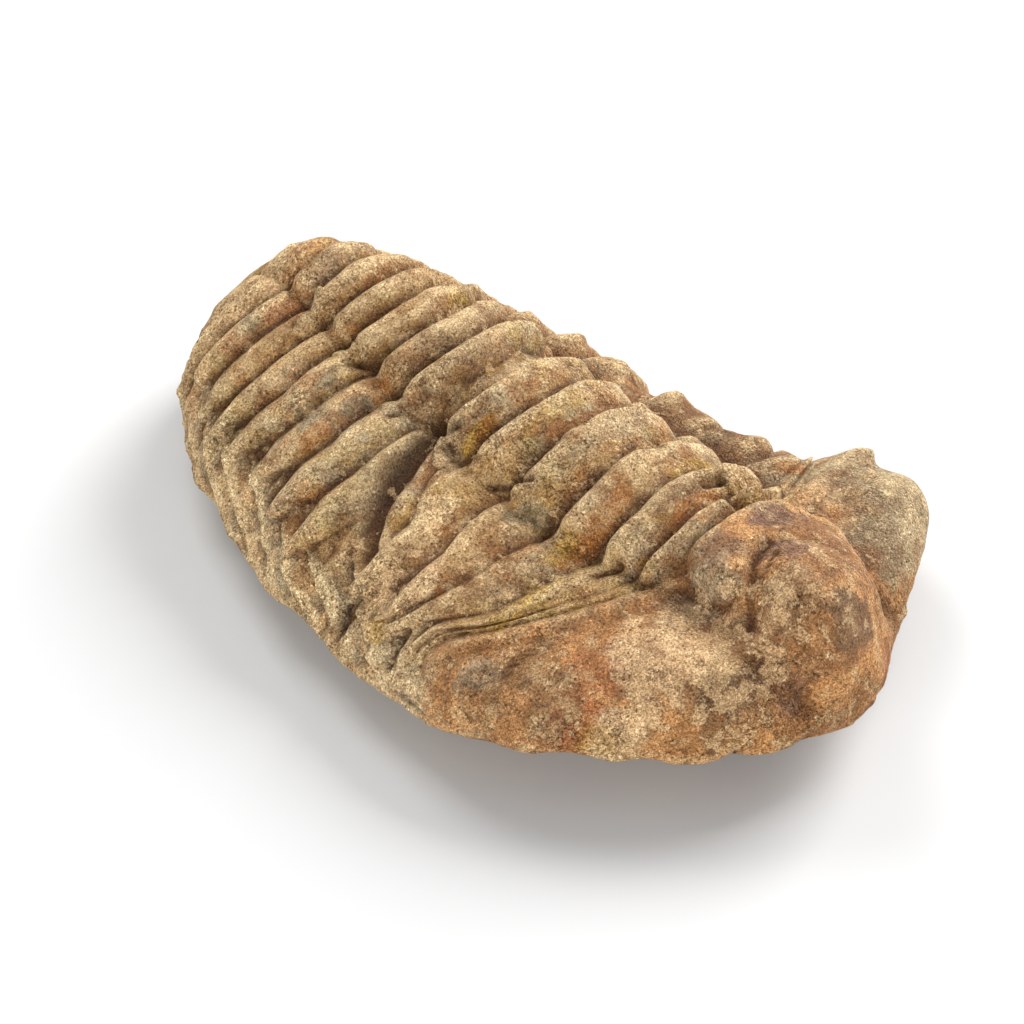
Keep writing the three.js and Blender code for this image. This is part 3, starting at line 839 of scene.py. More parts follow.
STAINS = (
    Stain(14.0, -2, 8.0, 9.5, Tone.BROWN, 0.55),
    Stain(-15.5, 2, 7.5, 5.0, Tone.BROWN, 0.45),
    Stain(-7.0, -36, 7.0, 6.0, Tone.BROWN, 0.42),
    Stain(29.5, -12, 6.5, 4.0, Tone.ORANGE_TAN, 0.5),
    Stain(31.5, -30, 6.0, 5.0, Tone.PALE, 0.5),
    Stain(33.0, 5, 5.0, 3.0, Tone.PALE, 0.45),
    Stain(24.0, -4, 3.0, 1.2, Tone.PALE, 0.5),
    Stain(25.6, 2, 4.5, 1.3, Tone.PURPLE, 0.6),
    Stain(24.5, -17, 2.6, 1.5, Tone.RUST, 0.5),
    Stain(26.4, -36, 1.8, 1.2, Tone.RUST, 0.5),
    Stain(26.4, -29, 1.2, 1.0, Tone.BLUE_GREY, 0.8),
    Stain(15.5, -24, 2.6, 0.9, Tone.BLUE_GREY, 0.8),
    Stain(11.4, -18, 2.4, 1.0, Tone.ORANGE, 0.6),
    Stain(11.2, -24, 1.2, 0.8, Tone.BLUE_GREY, 0.9),
    Stain(11.8, -35, 1.7, 0.9, Tone.ORANGE, 0.8),
    Stain(13.3, -33, 1.4, 0.9, Tone.BLUE_GREY, 0.7),
    Stain(0.5, -12, 1.9, 0.9, Tone.YELLOW, 0.95),
    Stain(0.4, -10, 1.1, 0.5, Tone.ORANGE, 0.7),
    Stain(13.6, 9, 1.8, 1.0, Tone.YELLOW, 0.6),
    Stain(-1.8, 8, 1.7, 0.9, Tone.YELLOW, 0.8),
    Stain(-3.4, -1, 3.6, 1.0, Tone.YELLOW, 0.45),
    Stain(-8.2, 11, 1.6, 0.9, Tone.ORANGE, 0.6),
    Stain(-12.6, -4, 2.2, 0.7, Tone.ORANGE, 0.6),
    Stain(-7.8, -15, 1.9, 1.3, Tone.BLUE_GREY, 0.7),
    Stain(-8.0, 2, 5.5, 0.9, Tone.GREY, 0.5),
    Stain(-13.8, -9, 3.6, 1.0, Tone.ORANGE, 0.75),
    Stain(-12.4, -16, 1.9, 1.2, Tone.YELLOW, 0.7),
    Stain(-15.0, 7, 2.2, 1.2, Tone.YELLOW, 0.6),
    Stain(-19.2, -2, 4.2, 1.3, Tone.ORANGE, 0.8),
    Stain(-17.4, 0, 1.6, 0.7, Tone.DARK, 0.7),
    Stain(-14.0, -15, 2.4, 0.9, Tone.ORANGE, 0.7),
    Stain(-14.6, -34, 3.4, 0.9, Tone.YELLOW, 0.8),
    Stain(-19.4, -11, 1.4, 0.9, Tone.YELLOW, 0.6),
    Stain(-12.5, 29, 4.5, 2.4, Tone.ORANGE, 0.5),
    # The brown and dark patches over the far pleurae below are partly stain and partly painted shade,
    # darkening the far side and the spaces between its knobs.
    Stain(-6.0, 42, 6.0, 12.0, Tone.HEAD_BROWN, 0.7),
    Stain(-6.0, 36, 3.6, 10.0, Tone.DARK, 0.45),
    Stain(10.0, 38, 5.0, 8.0, Tone.HEAD_BROWN, 0.6),
    Stain(-15.0, 31, 2.4, 1.6, Tone.ORANGE, 0.7),
    Stain(-7.6, 31, 2.0, 1.2, Tone.DARK, 0.7),
    Stain(1.4, 31, 2.0, 1.2, Tone.DARK, 0.7),
    Stain(5.0, -33, 6.0, 1.4, Tone.OLIVE, 0.5),
    Stain(-2.0, -33, 3.4, 1.1, Tone.CREAM, 0.8),
    Stain(-1.4, -50, 3.4, 1.3, Tone.CREAM, 0.85),
    Stain(-5.4, -51, 3.8, 2.4, Tone.PINK_CREAM, 0.85),
    Stain(-5.2, -69, 1.2, 1.2, Tone.YELLOW, 0.8),
    Stain(-8.6, -58, 4.6, 3.0, Tone.PALE, 0.5),
    Stain(-16.2, -57, 2.2, 2.0, Tone.GREY, 0.6),
    Stain(-24.8, -45, 2.8, 2.6, Tone.RUST, 0.5),
    Stain(-24.8, -74, 2.6, 2.2, Tone.RUST, 0.55),
    Stain(-26.6, -85, 1.6, 1.2, Tone.YELLOW, 0.45),
    Stain(-27.6, -88, 4.5, 1.4, Tone.PALE, 0.5),
    Stain(-17.6, -62, 2.6, 2.4, Tone.DARK, 0.55),
    Stain(-22.5, -62, 2.6, 2.2, Tone.DARK, 0.4),
    Stain(-27.4, -32, 5.5, 4.4, Tone.PINK_CREAM, 0.75),
    Stain(-31.0, -30, 4.0, 2.0, Tone.CREAM, 0.6),
    Stain(-33.4, -46, 4.2, 2.0, Tone.DARK, 0.9),
    Stain(-31.4, -49, 1.6, 1.2, Tone.DARK, 0.9),
    Stain(-35.6, -43, 2.4, 1.2, Tone.PURPLE, 0.8),
    Stain(-34.6, -90, 5.5, 2.4, Tone.ORANGE_TAN, 0.6),
    Stain(-27.5, 14, 6.5, 4.2, Tone.HEAD_BROWN, 0.75),
    Stain(-34.0, -8, 7.0, 2.4, Tone.HEAD_BROWN, 0.5),
    Stain(-24.2, -12, 3.0, 2.2, Tone.GREY, 0.4),
    Stain(-35.0, 92, 3.0, 2.0, Tone.RUST, 0.5),
    Stain(-31.2, -8, 1.5, 1.2, Tone.CREAM, 0.8),
    Stain(-27.8, -4, 2.6, 0.8, Tone.HEAD_BROWN, 0.8),
    Stain(-29.8, -3, 2.4, 1.6, Tone.FAR_GREY, 0.5),
    Stain(-30.0, 8, 5.0, 3.0, Tone.HEAD_BROWN, 0.55),
    Stain(-33.0, 2, 6.0, 2.4, Tone.HEAD_BROWN, 0.4),
    Stain(-33.6, 18, 4.4, 2.0, Tone.ORANGE_TAN, 0.5),
    Stain(-22.0, 52, 7.0, 9.0, Tone.FAR_GREY, 0.85),
    Stain(-20.6, 34, 3.0, 3.0, Tone.ORANGE_TAN, 0.5),
    Stain(-21.5, 41, 1.7, 4.4, Tone.DARK, 0.6),
    Stain(-26.5, 47, 1.7, 3.4, Tone.DARK, 0.55),
    Stain(-27.6, -13, 3.6, 2.6, Tone.HEAD_BROWN, 0.85),
    Stain(-31.2, -17, 3.6, 2.4, Tone.HEAD_BROWN, 0.8),
    Stain(-29.4, -14, 1.6, 1.2, Tone.DARK, 0.6),
    Stain(-26.8, 18, 5.0, 3.6, Tone.HEAD_BROWN, 0.7),
    Stain(-34.2, 12, 2.6, 2.0, Tone.DARK, 0.8),
    Stain(-23.4, 10, 3.6, 1.8, Tone.PURPLE, 0.85),
    Stain(-24.8, -9, 2.9, 2.4, Tone.GREY, 0.55),
    Stain(-24.2, -3, 2.2, 1.7, Tone.PURPLE, 0.7),
    Stain(-27.0, 4, 2.2, 1.6, Tone.PURPLE, 0.7),
    Stain(-32.4, -46, 4.0, 1.6, Tone.DARK, 0.55),
    # brown over the far pleurae: partly stain, partly painted shade darkening the far side
    Stain(-2.0, 42, 17.0, 4.6, Tone.BROWN, 0.45),
    Stain(3.4, -30, 7.5, 1.5, Tone.DARK, 0.6),
    Stain(5.6, -8, 4.0, 1.0, Tone.HEAD_BROWN, 0.5),
)


CRUSTS = (
    Stain(-27.4, -32, 6.0, 4.8, Tone.CREAM, 1.0),
    Stain(-33.0, -44, 6.0, 3.0, Tone.CREAM, 0.75),
    Stain(-30.8, -7, 2.6, 1.7, Tone.CREAM, 0.9),
    Stain(-25.2, 1, 1.4, 1.0, Tone.CREAM, 0.7),
    Stain(-2.0, -33, 4.0, 1.6, Tone.CREAM, 0.9),
    Stain(-3.4, -52, 5.0, 3.2, Tone.CREAM, 0.9),
    Stain(-6.0, -76, 3.0, 3.0, Tone.CREAM, 0.6),
    Stain(8.0, -84, 3.0, 4.0, Tone.CREAM, 0.5),
    Stain(30.0, -8, 8.0, 4.0, Tone.CREAM, 0.5),
)


@dataclass
class StoneColours:
    """Colour of every point of the stone, from bands, stains and dirt, with painted shade in hollows,
    gaps, under the plates and on the far pleurae, and painted highlights on crests and the flank.
    """

    small: Noise = Noise(2.2, 3, 5)
    wide: Noise = Noise(9.0, 3, 1)
    ragged_grey: float = 0.3
    grey: Blush = Blush(Tone.GREY, 0.75, -0.1, 0.3)
    brown: Blush = Blush(Tone.BROWN, 0.75, 0.0, 0.35)
    olive: Blush = Blush(Tone.OLIVE, 0.4, 0.1, 0.4)
    olive_noise: Noise = Noise(5.0, 3, 9)
    streaks: Blush = Blush(Tone.BROWN, 0.45, 0.05, 0.4)
    ochre: Blush = Blush(Tone.OCHRE, 0.5, 0.17, 0.3)
    yellow: Blush = Blush(Tone.YELLOW, 0.3, 0.2, 0.3)
    ochre_noise: Noise = Noise(3.0, 4, 97)
    ragged_head: float = 0.5
    head_brown: Blush = Blush(Tone.HEAD_BROWN, 0.7, 0.0, 0.3)
    head_orange: Blush = Blush(Tone.ORANGE_TAN, 0.6, 0.05, 0.3)
    orange_noise: Noise = Noise(4.0, 4, 17)
    head_dark: Blush = Blush(Tone.DARK, 0.45, 0.14, 0.3)
    dark_noise: Noise = Noise(3.4, 4, 83)
    head_edge: Span = (-0.4, 0.4)
    plate_end: Span = (84.0, 100.0)
    plate_tones: tuple[Tone, ...] = (Tone.ORANGE_TAN, Tone.GREY, Tone.TAN, Tone.BLUE_GREY, Tone.CREAM)
    plate_cover: float = 0.6
    plate_order: tuple[int, int] = (7, 3)
    lip_edge: Span = (0.5, 0.62)
    lip_ragged: float = 0.2
    # painted highlight over the flaky flank, strongest on the raised lips
    flank_highlight: Span = (0.35, 0.45)
    # painted shade on the low part of each plate
    plate_foot_shade: Blush = Blush(Tone.BLUE_GREY, 0.6, -0.05, 0.15)
    seam: Blush = Blush(Tone.CRACK, 0.4, 0.09, 0.03)
    seam_ragged: float = 0.08
    head_crest_calm: float = 0.6
    speck_noise: Noise = Noise(1.2, 2, 41)
    # dark brown laid by depth in the hollows: partly dirt, partly painted shade
    hollow_dirt_and_shade: DepthTone = DepthTone(Tone.FURROW, 2.2, 1.8, 0.9)
    # pale laid on the crests: partly wear, partly painted highlight
    crest_wear_and_highlight: DepthTone = DepthTone(Tone.PALE, -1.3, 1.2, 0.6)
    dark_specks: Blush = Blush(Tone.BROWN, 0.4, 0.15, 0.45)
    pale_specks: Blush = Blush(Tone.CREAM, 0.3, 0.2, 0.5)
    # painted shade by depth in the gaps
    gap_shade: DepthTone = DepthTone(Tone.FURROW, 0.5, 0.0, 0.7)
    crack_dirt: DepthTone = DepthTone(Tone.CRACK, 1.1, 0.0, 0.85)
    least_crust: float = 0.15

    def paint(self, thorax: Thorax, spots: Spots, points: Array, hollow: Array) -> Array:
        """Colour and crust of the stone.

        Args:
            thorax: The ringed back, for its plates, streaks, gaps and cracks.
            spots: Places on the body.
            points: Finished surface points in mm.
            hollow: Depth below the smoothed surface in mm, negative on crests.

        Returns:
            One row of red, green, blue and thickness of pale sandy crust for each spot.
        """
        head = smooth_step(*self.head_edge, spots.ahead)
        small, speck = self.small.at(points), self.speck_noise.at(points)
        colour = self.rock(thorax.streaks(spots), points, head, small)
        self.plates(colour, thorax.plates(spots), spots.angle, head, small)
        for stain in STAINS:
            lay(colour, stain.tone, stain.cover(spots, small))
        # the painted crest highlight is calmer on the head
        hollow = np.where(hollow < 0.0, hollow * (1.0 - self.head_crest_calm * head), hollow)
        # painted shade and dirt darken the hollows
        self.hollow_dirt_and_shade.over(colour, hollow, speck)
        # painted highlight and wear lighten the crests
        self.crest_wear_and_highlight.over(colour, hollow, speck)
        self.dark_specks.over(colour, speck)
        self.pale_specks.over(colour, -speck)
        # painted shade darkens the gaps
        self.gap_shade.over(colour, -total_lift(spots, thorax.gaps), share=1.0 - head)
        self.crack_dirt.over(colour, -total_lift(spots, thorax.cracks), share=1.0 - head)
        crusts = np.max([stain.cover(spots, small) for stain in CRUSTS], axis=0)
        return np.column_stack([colour, np.maximum(crusts, self.least_crust)])

    def rock(self, streaks: Array, points: Array, head: Array, small: Array) -> Array:
        """Colour of the bare rock, streaked along the ribs and redder on the head.

        Args:
            streaks: Ridges along the ribs, from -1 to 1.
            points: Finished surface points in mm.
            head: How far each point belongs to the head.
            small: Fine unevenness from -1 to 1.

        Returns:
            One row of red, green and blue for each point.
        """
        wide, ochre = self.wide.at(points), self.ochre_noise.at(points)
        back = np.tile(np.array(Tone.TAN.value), (len(points), 1))
        self.grey.over(back, wide + self.ragged_grey * small)
        self.brown.over(back, small)
        self.olive.over(back, self.olive_noise.at(points))
        self.streaks.over(back, streaks)
        self.ochre.over(back, ochre)
        self.yellow.over(back, -ochre)
        skin = np.tile(np.array(Tone.HEAD.value), (len(points), 1))
        self.head_brown.over(skin, wide + self.ragged_head * small)
        self.head_orange.over(skin, self.orange_noise.at(points))
        self.head_dark.over(skin, self.dark_noise.at(points))
        return back + head[:, None] * (skin - back)

    def plates(
        self, colour: Array, plates: tuple[Array, ...], angle: Array, head: Array, small: Array
    ) -> None:
        """Colour the margin's plates in place, each in its own tone, with a painted highlight over the
        plates that is strongest on the pale raised lip, painted shade on the low part of each plate and a
        dark seam.

        Args:
            colour: Rows of red, green and blue.
            plates: What the thorax says of its plates at each spot.
            angle: How far round from the crest each spot lies, in degrees.
            head: How far each spot belongs to the head.
            small: Fine unevenness from -1 to 1.
        """
        _, zone, number, part = plates
        zone = zone * (1.0 - head) * (1.0 - smooth_step(*self.plate_end, angle))
        step, group = self.plate_order
        pick = np.mod(number * step + np.floor(number / group), len(self.plate_tones)).astype(int)
        for index, tone in enumerate(self.plate_tones):
            lay(colour, tone, self.plate_cover * zone * (pick == index))
        lip = smooth_step(*self.lip_edge, part + self.lip_ragged * small)
        # painted highlight over the plates, strongest on the raised lips
        lay(colour, Tone.PALE, zone * (self.flank_highlight[0] + self.flank_highlight[1] * lip))
        # painted shade on the low part of each plate
        self.plate_foot_shade.over(colour, small, zone * (1.0 - lip))
        self.seam.over(colour, part + self.seam_ragged * small, zone)


# ---------------------------------------------------------------- stone


@dataclass
class FossilStone:
    """The whole fossil as one closed, sculpted stone."""

    rows: int = 320
    columns: int = 300
    head_share: float = 0.24
    tail_share: float = 0.05
    axis_share: float = 0.29
    axis_margin: float = 1.06
    widest_axis: float = 0.6
    least_width: float = 0.1
    flank_share: float = 0.86
    margin_girth: float = 92.0
    tip_share: float = 1e-4
    centring_y: float = -0.7
    head_edge: Span = (-0.6, 0.5)
    back_edge: Span = (84.0, 98.0)
    flank_edge: Span = (50.0, 66.0)
    flank_calm: float = 0.7
    wave_start: Span = (0.4, 1.6)
    tail_tip: Span = (35.5, 38.2)
    hollow_rounds: tuple[int, ...] = (3, 8, 40)
    box_ease: float = 0.5
    body: Body = field(default_factory=Body)
    thorax: Thorax = field(default_factory=Thorax)
    head: Head = field(default_factory=Head)
    skin: Skin = field(default_factory=Skin)
    colours: StoneColours = field(default_factory=StoneColours)

    def girth_of(self, share: Array, y: Array) -> Array:
        """Girth of a mesh column at some stations, crowded on the axial lobe.

        Args:
            share: Column places from -1, under the right side, to 1, under the left.
            y: Stations in mm.

        Returns:
            The girths in degrees.
        """
        body = self.body
        reach = np.abs(share)
        edge = self.axis_margin * body.curves["axis_half"](y)
        edge = np.clip(edge / np.maximum(body.half_width(y), self.least_width), 0.0, self.widest_axis)
        edge = np.degrees(np.arcsin(edge ** (body.right_powers[0] / 2.0)))
        on_axis = edge * reach / self.axis_share
        flank = (reach - self.axis_share) / (self.flank_share - self.axis_share)
        on_flank = edge + (self.margin_girth - edge) * flank
        under = (reach - self.flank_share) / (1.0 - self.flank_share)
        on_belly = self.margin_girth + (HALF_TURN - self.margin_girth) * under
        girth = np.where(reach <= self.axis_share, on_axis, np.where(flank <= 1.0, on_flank, on_belly))
        return np.sign(share) * girth

    def station_of(self, share: Array, girth: Array) -> Array:
        """Station of a mesh row, so that rows run along the ribs.

        Args:
            share: Row places from 0, the head's tip, to 1, the tail's tip.
            girth: Angles in degrees.

        Returns:
            The stations in mm.
        """
        body = self.body
        crests = body.crests(girth)
        count = crests.shape[1] - 1
        thorax_share = 1.0 - self.head_share - self.tail_share
        ahead = 1.0 - np.cos(0.5 * math.pi * np.clip(share / self.head_share, 0.0, 1.0))
        in_head = body.front + (crests[:, 0] - body.front) * ahead
        phase = np.clip((share - self.head_share) / thorax_share, 0.0, 1.0) * count
        i = np.minimum(phase.astype(int), count - 1)
        rows = np.arange(len(share))
        start, end = crests[rows, i], crests[rows, i + 1]
        in_thorax = start + (end - start) * (phase - i)
        behind = np.clip((share - 1.0 + self.tail_share) / self.tail_share, 0.0, 1.0)
        in_tail = crests[:, -1] + (body.rear - crests[:, -1]) * np.sin(0.5 * math.pi * behind)
        return np.where(share < self.head_share, in_head, np.where(behind > 0, in_tail, in_thorax))

    def surface(self, spots: Spots) -> Array:
        """Finished surface of the stone.

        Args:
            spots: Places on the body.

        Returns:
            One row of x, y and z in mm for each spot.
        """
        points = spots.points
        in_head = smooth_step(*self.head_edge, spots.ahead)
        on_back = 1.0 - smooth_step(*self.back_edge, spots.angle)
        on_flank = smooth_step(*self.flank_edge, spots.angle) * (1.0 - in_head)
        relief = in_head * self.head.relief(spots) + (1.0 - in_head) * self.thorax.relief(spots)
        off_floor = smooth_step(*self.wave_start, points[:, 2])
        relief = relief * on_back + self.skin.waves(points) * off_floor * (1.0 - on_back)
        relief += self.skin.grit(points, on_back * (1.0 - self.flank_calm * on_flank))
        relief *= 1.0 - smooth_step(*self.tail_tip, spots.y)
        moved = points + self.body.outward(points) * relief[:, None]
        moved[:, 1] += self.centring_y
        moved[:, 2] = np.maximum(moved[:, 2], 0.0)
        return moved

    def keep_inside(self, points: Array) -> None:
        """Ease the outermost points softly into the box of the solid, in place.

        Args:
            points: Places in mm.
        """
        ease = self.box_ease
        for axis, (low, high) in enumerate(zip(*CAD_BOUNDS)):
            over = np.maximum(points[:, axis] - (high / MM - ease), 0.0)
            points[:, axis] -= over - ease * (1.0 - np.exp(-over / ease))
            if axis < 2:
                under = np.maximum(low / MM + ease - points[:, axis], 0.0)
                points[:, axis] += under - ease * (1.0 - np.exp(-under / ease))

    def hollows(self, mesh: bpy.types.Mesh, points: Array) -> Array:
        """Depth of each vertex below its smoothed surroundings.

        Args:
            mesh: The mesh whose edges are followed.
            points: Vertex places in mm.

        Returns:
            The depths in mm, summed over a few scales and negative on crests.
        """
        ends = np.zeros(len(mesh.edges) * 2, dtype=np.int64)
        mesh.edges.foreach_get("vertices", ends)
        first, second = ends[0::2], ends[1::2]
        count = np.bincount(ends, minlength=len(points))[:, None]
        normals = np.zeros(points.size)
        mesh.vertices.foreach_get("normal", normals)
        total = np.zeros(len(points))
        smooth = points.copy()
        for turn in range(max(self.hollow_rounds)):
            spread = [
                np.bincount(first, part[second], len(part)) + np.bincount(second, part[first], len(part))
                for part in smooth.T
            ]
            smooth = 0.5 * smooth + 0.5 * np.stack(spread, axis=-1) / count
            if turn + 1 in self.hollow_rounds:
                total += np.sum((smooth - points) * normals.reshape(points.shape), axis=1)
        return total

    def sculpt(self, mesh: bpy.types.Mesh) -> tuple[Spots, Array]:
        """Move a ball's vertices onto the stone.

        Args:
            mesh: A unit ball with its poles on the y axis.

        Returns:
            The vertices' places on the body, and their finished places in mm.
        """
        ball = np.zeros(len(mesh.vertices) * 3)
        mesh.vertices.foreach_get("co", ball)
        ball = ball.reshape(-1, 3)
        row = np.arccos(np.clip(-ball[:, 1], -1.0, 1.0)) / math.pi
        column = np.arctan2(ball[:, 0], ball[:, 2]) / math.pi
        rough_y = self.station_of(row, self.girth_of(column, np.zeros(len(row))))
        at_tip = np.minimum(row, 1.0 - row) < self.tip_share
        girth = np.where(at_tip, 0.0, self.girth_of(column, rough_y))
        spots = Spots(self.body, self.station_of(row, girth), girth)
        points = self.surface(spots)
        self.keep_inside(points)
        mesh.vertices.foreach_set("co", (points * MM).ravel())
        mesh.update()
        mesh.shade_smooth()
        return spots, points

    def build(self) -> bpy.types.Object:
        """Sculpt a ball of fine facets into the stone and colour it.

        Returns:
            The finished object, at the origin.
        """
        bm = bmesh.new()
        poles_along_y = Matrix.Rotation(math.radians(-90.0), 4, "X")
        bmesh.ops.create_uvsphere(
            bm, u_segments=self.columns, v_segments=self.rows, radius=1.0, matrix=poles_along_y
        )
        mesh = bpy.data.meshes.new(NODE + "_stone")
        bm.to_mesh(mesh)
        bm.free()
        spots, points = self.sculpt(mesh)
        paint = self.colours.paint(self.thorax, spots, points, self.hollows(mesh, points))
        attribute = mesh.attributes.new("paint", "FLOAT_COLOR", "POINT")
        attribute.data.foreach_set("color", paint.ravel())
        stone = bpy.data.objects.new(NODE + "_stone", mesh)
        bpy.context.scene.collection.objects.link(stone)
        return stone


# ---------------------------------------------------------------- finishes


class NodeBench:
    """Adds nodes to one material and links them up."""

    MIX_COLOURS = (6, 7)
    MIX_RESULT = 2

    def __init__(self, material: bpy.types.Material) -> None:
        """Start on the material's own tree, with the object's coordinates at hand."""
        self.tree = material.node_tree
        self.place = self.node("ShaderNodeTexCoord").outputs["Object"]

    def node(self, kind: str, **inputs: Socket | float) -> bpy.types.Node:
        """Add a node.

        Args:
            kind: The node's type name.
            inputs: What goes into its named inputs.

        Returns:
            The new node.
        """
        node = self.tree.nodes.new(kind)
        for name, value in inputs.items():
            self.feed(node.inputs[name], value)
        return node

    def feed(self, socket: Socket, value: Socket | float) -> None:
        """Fill one input.

        Args:
            socket: The input.
            value: The socket to link to it, or the number to set it to.
        """
        if isinstance(value, Socket):
            self.tree.links.new(value, socket)
        else:
            socket.default_value = value

    def math(self, operation: str, a: Socket, b: Socket | float) -> Socket:
        """Work out one value from two.

        Args:
            operation: The name of the sum.
            a: First value.
            b: Second value.

        Returns:
            The result.
        """
        node = self.node("ShaderNodeMath")
        node.operation = operation
        self.feed(node.inputs[0], a)
        self.feed(node.inputs[1], b)
        return node.outputs[0]

    def plus(self, a: Socket, b: Socket | float) -> Socket:
        """Add two values."""
        return self.math("ADD", a, b)

    def times(self, a: Socket, b: Socket | float) -> Socket:
        """Multiply two values."""
        return self.math("MULTIPLY", a, b)

    def noise(self, scale: float, detail: float) -> Socket:
        """Noise with so many features per metre and so many levels of detail."""
        inputs = {"Vector": self.place, "Scale": scale, "Detail": detail, "Roughness": NOISE_ROUGHNESS}
        return self.node("ShaderNodeTexNoise", **inputs).outputs["Fac"]

    def cells(self, scale: float) -> tuple[Socket, Socket]:
        """Scattered cells, so many per metre.

        Args:
            scale: Cells per metre.

        Returns:
            The distance from each cell's middle, and a value from 0 to 1 that each cell has to itself.
        """
        cells = self.node("ShaderNodeTexVoronoi", Vector=self.place, Scale=scale)
        parts = self.node("ShaderNodeSeparateColor", Color=cells.outputs["Color"])
        return cells.outputs["Distance"], parts.outputs[0]

    def ramp(self, value: Socket, low: float, high: float, start: float = 0.0, end: float = 1.0) -> Socket:
        """Map a value from low..high to start..end and return the result."""
        inputs = {"Value": value, "From Min": low, "From Max": high, "To Min": start, "To Max": end}
        return self.node("ShaderNodeMapRange", **inputs).outputs["Result"]

    def mix(self, share: Socket, colour: Socket, other: tuple[float, float, float]) -> Socket:
        """Blend a colour towards another.

        Args:
            share: Share of the other colour, from 0 to 1.
            colour: The first colour.
            other: Red, green and blue of the other.

        Returns:
            The blended colour.
        """
        node = self.node("ShaderNodeMix", Factor=share)
        node.data_type = "RGBA"
        for socket, value in zip(self.MIX_COLOURS, (colour, (*other, 1.0))):
            self.feed(node.inputs[socket], value)
        return node.outputs[self.MIX_RESULT]


@dataclass(frozen=True)
class Roughness:
    """One scale of unevenness: features per metre, swing of shade and height in mm."""

    scale: float
    detail: float
    shade: float
    height: float


@dataclass(frozen=True)
class Patches:
    """Ragged patches: features per metre, detail, where they start, and the least cover between."""

    scale: float
    detail: float
    edge: Span
    least: float = 0.0

    def cover(self, bench: NodeBench) -> Socket:
        """Cover of the patches, from the least to 1."""
        return bench.ramp(bench.noise(self.scale, self.detail), *self.edge, self.least, 1.0)


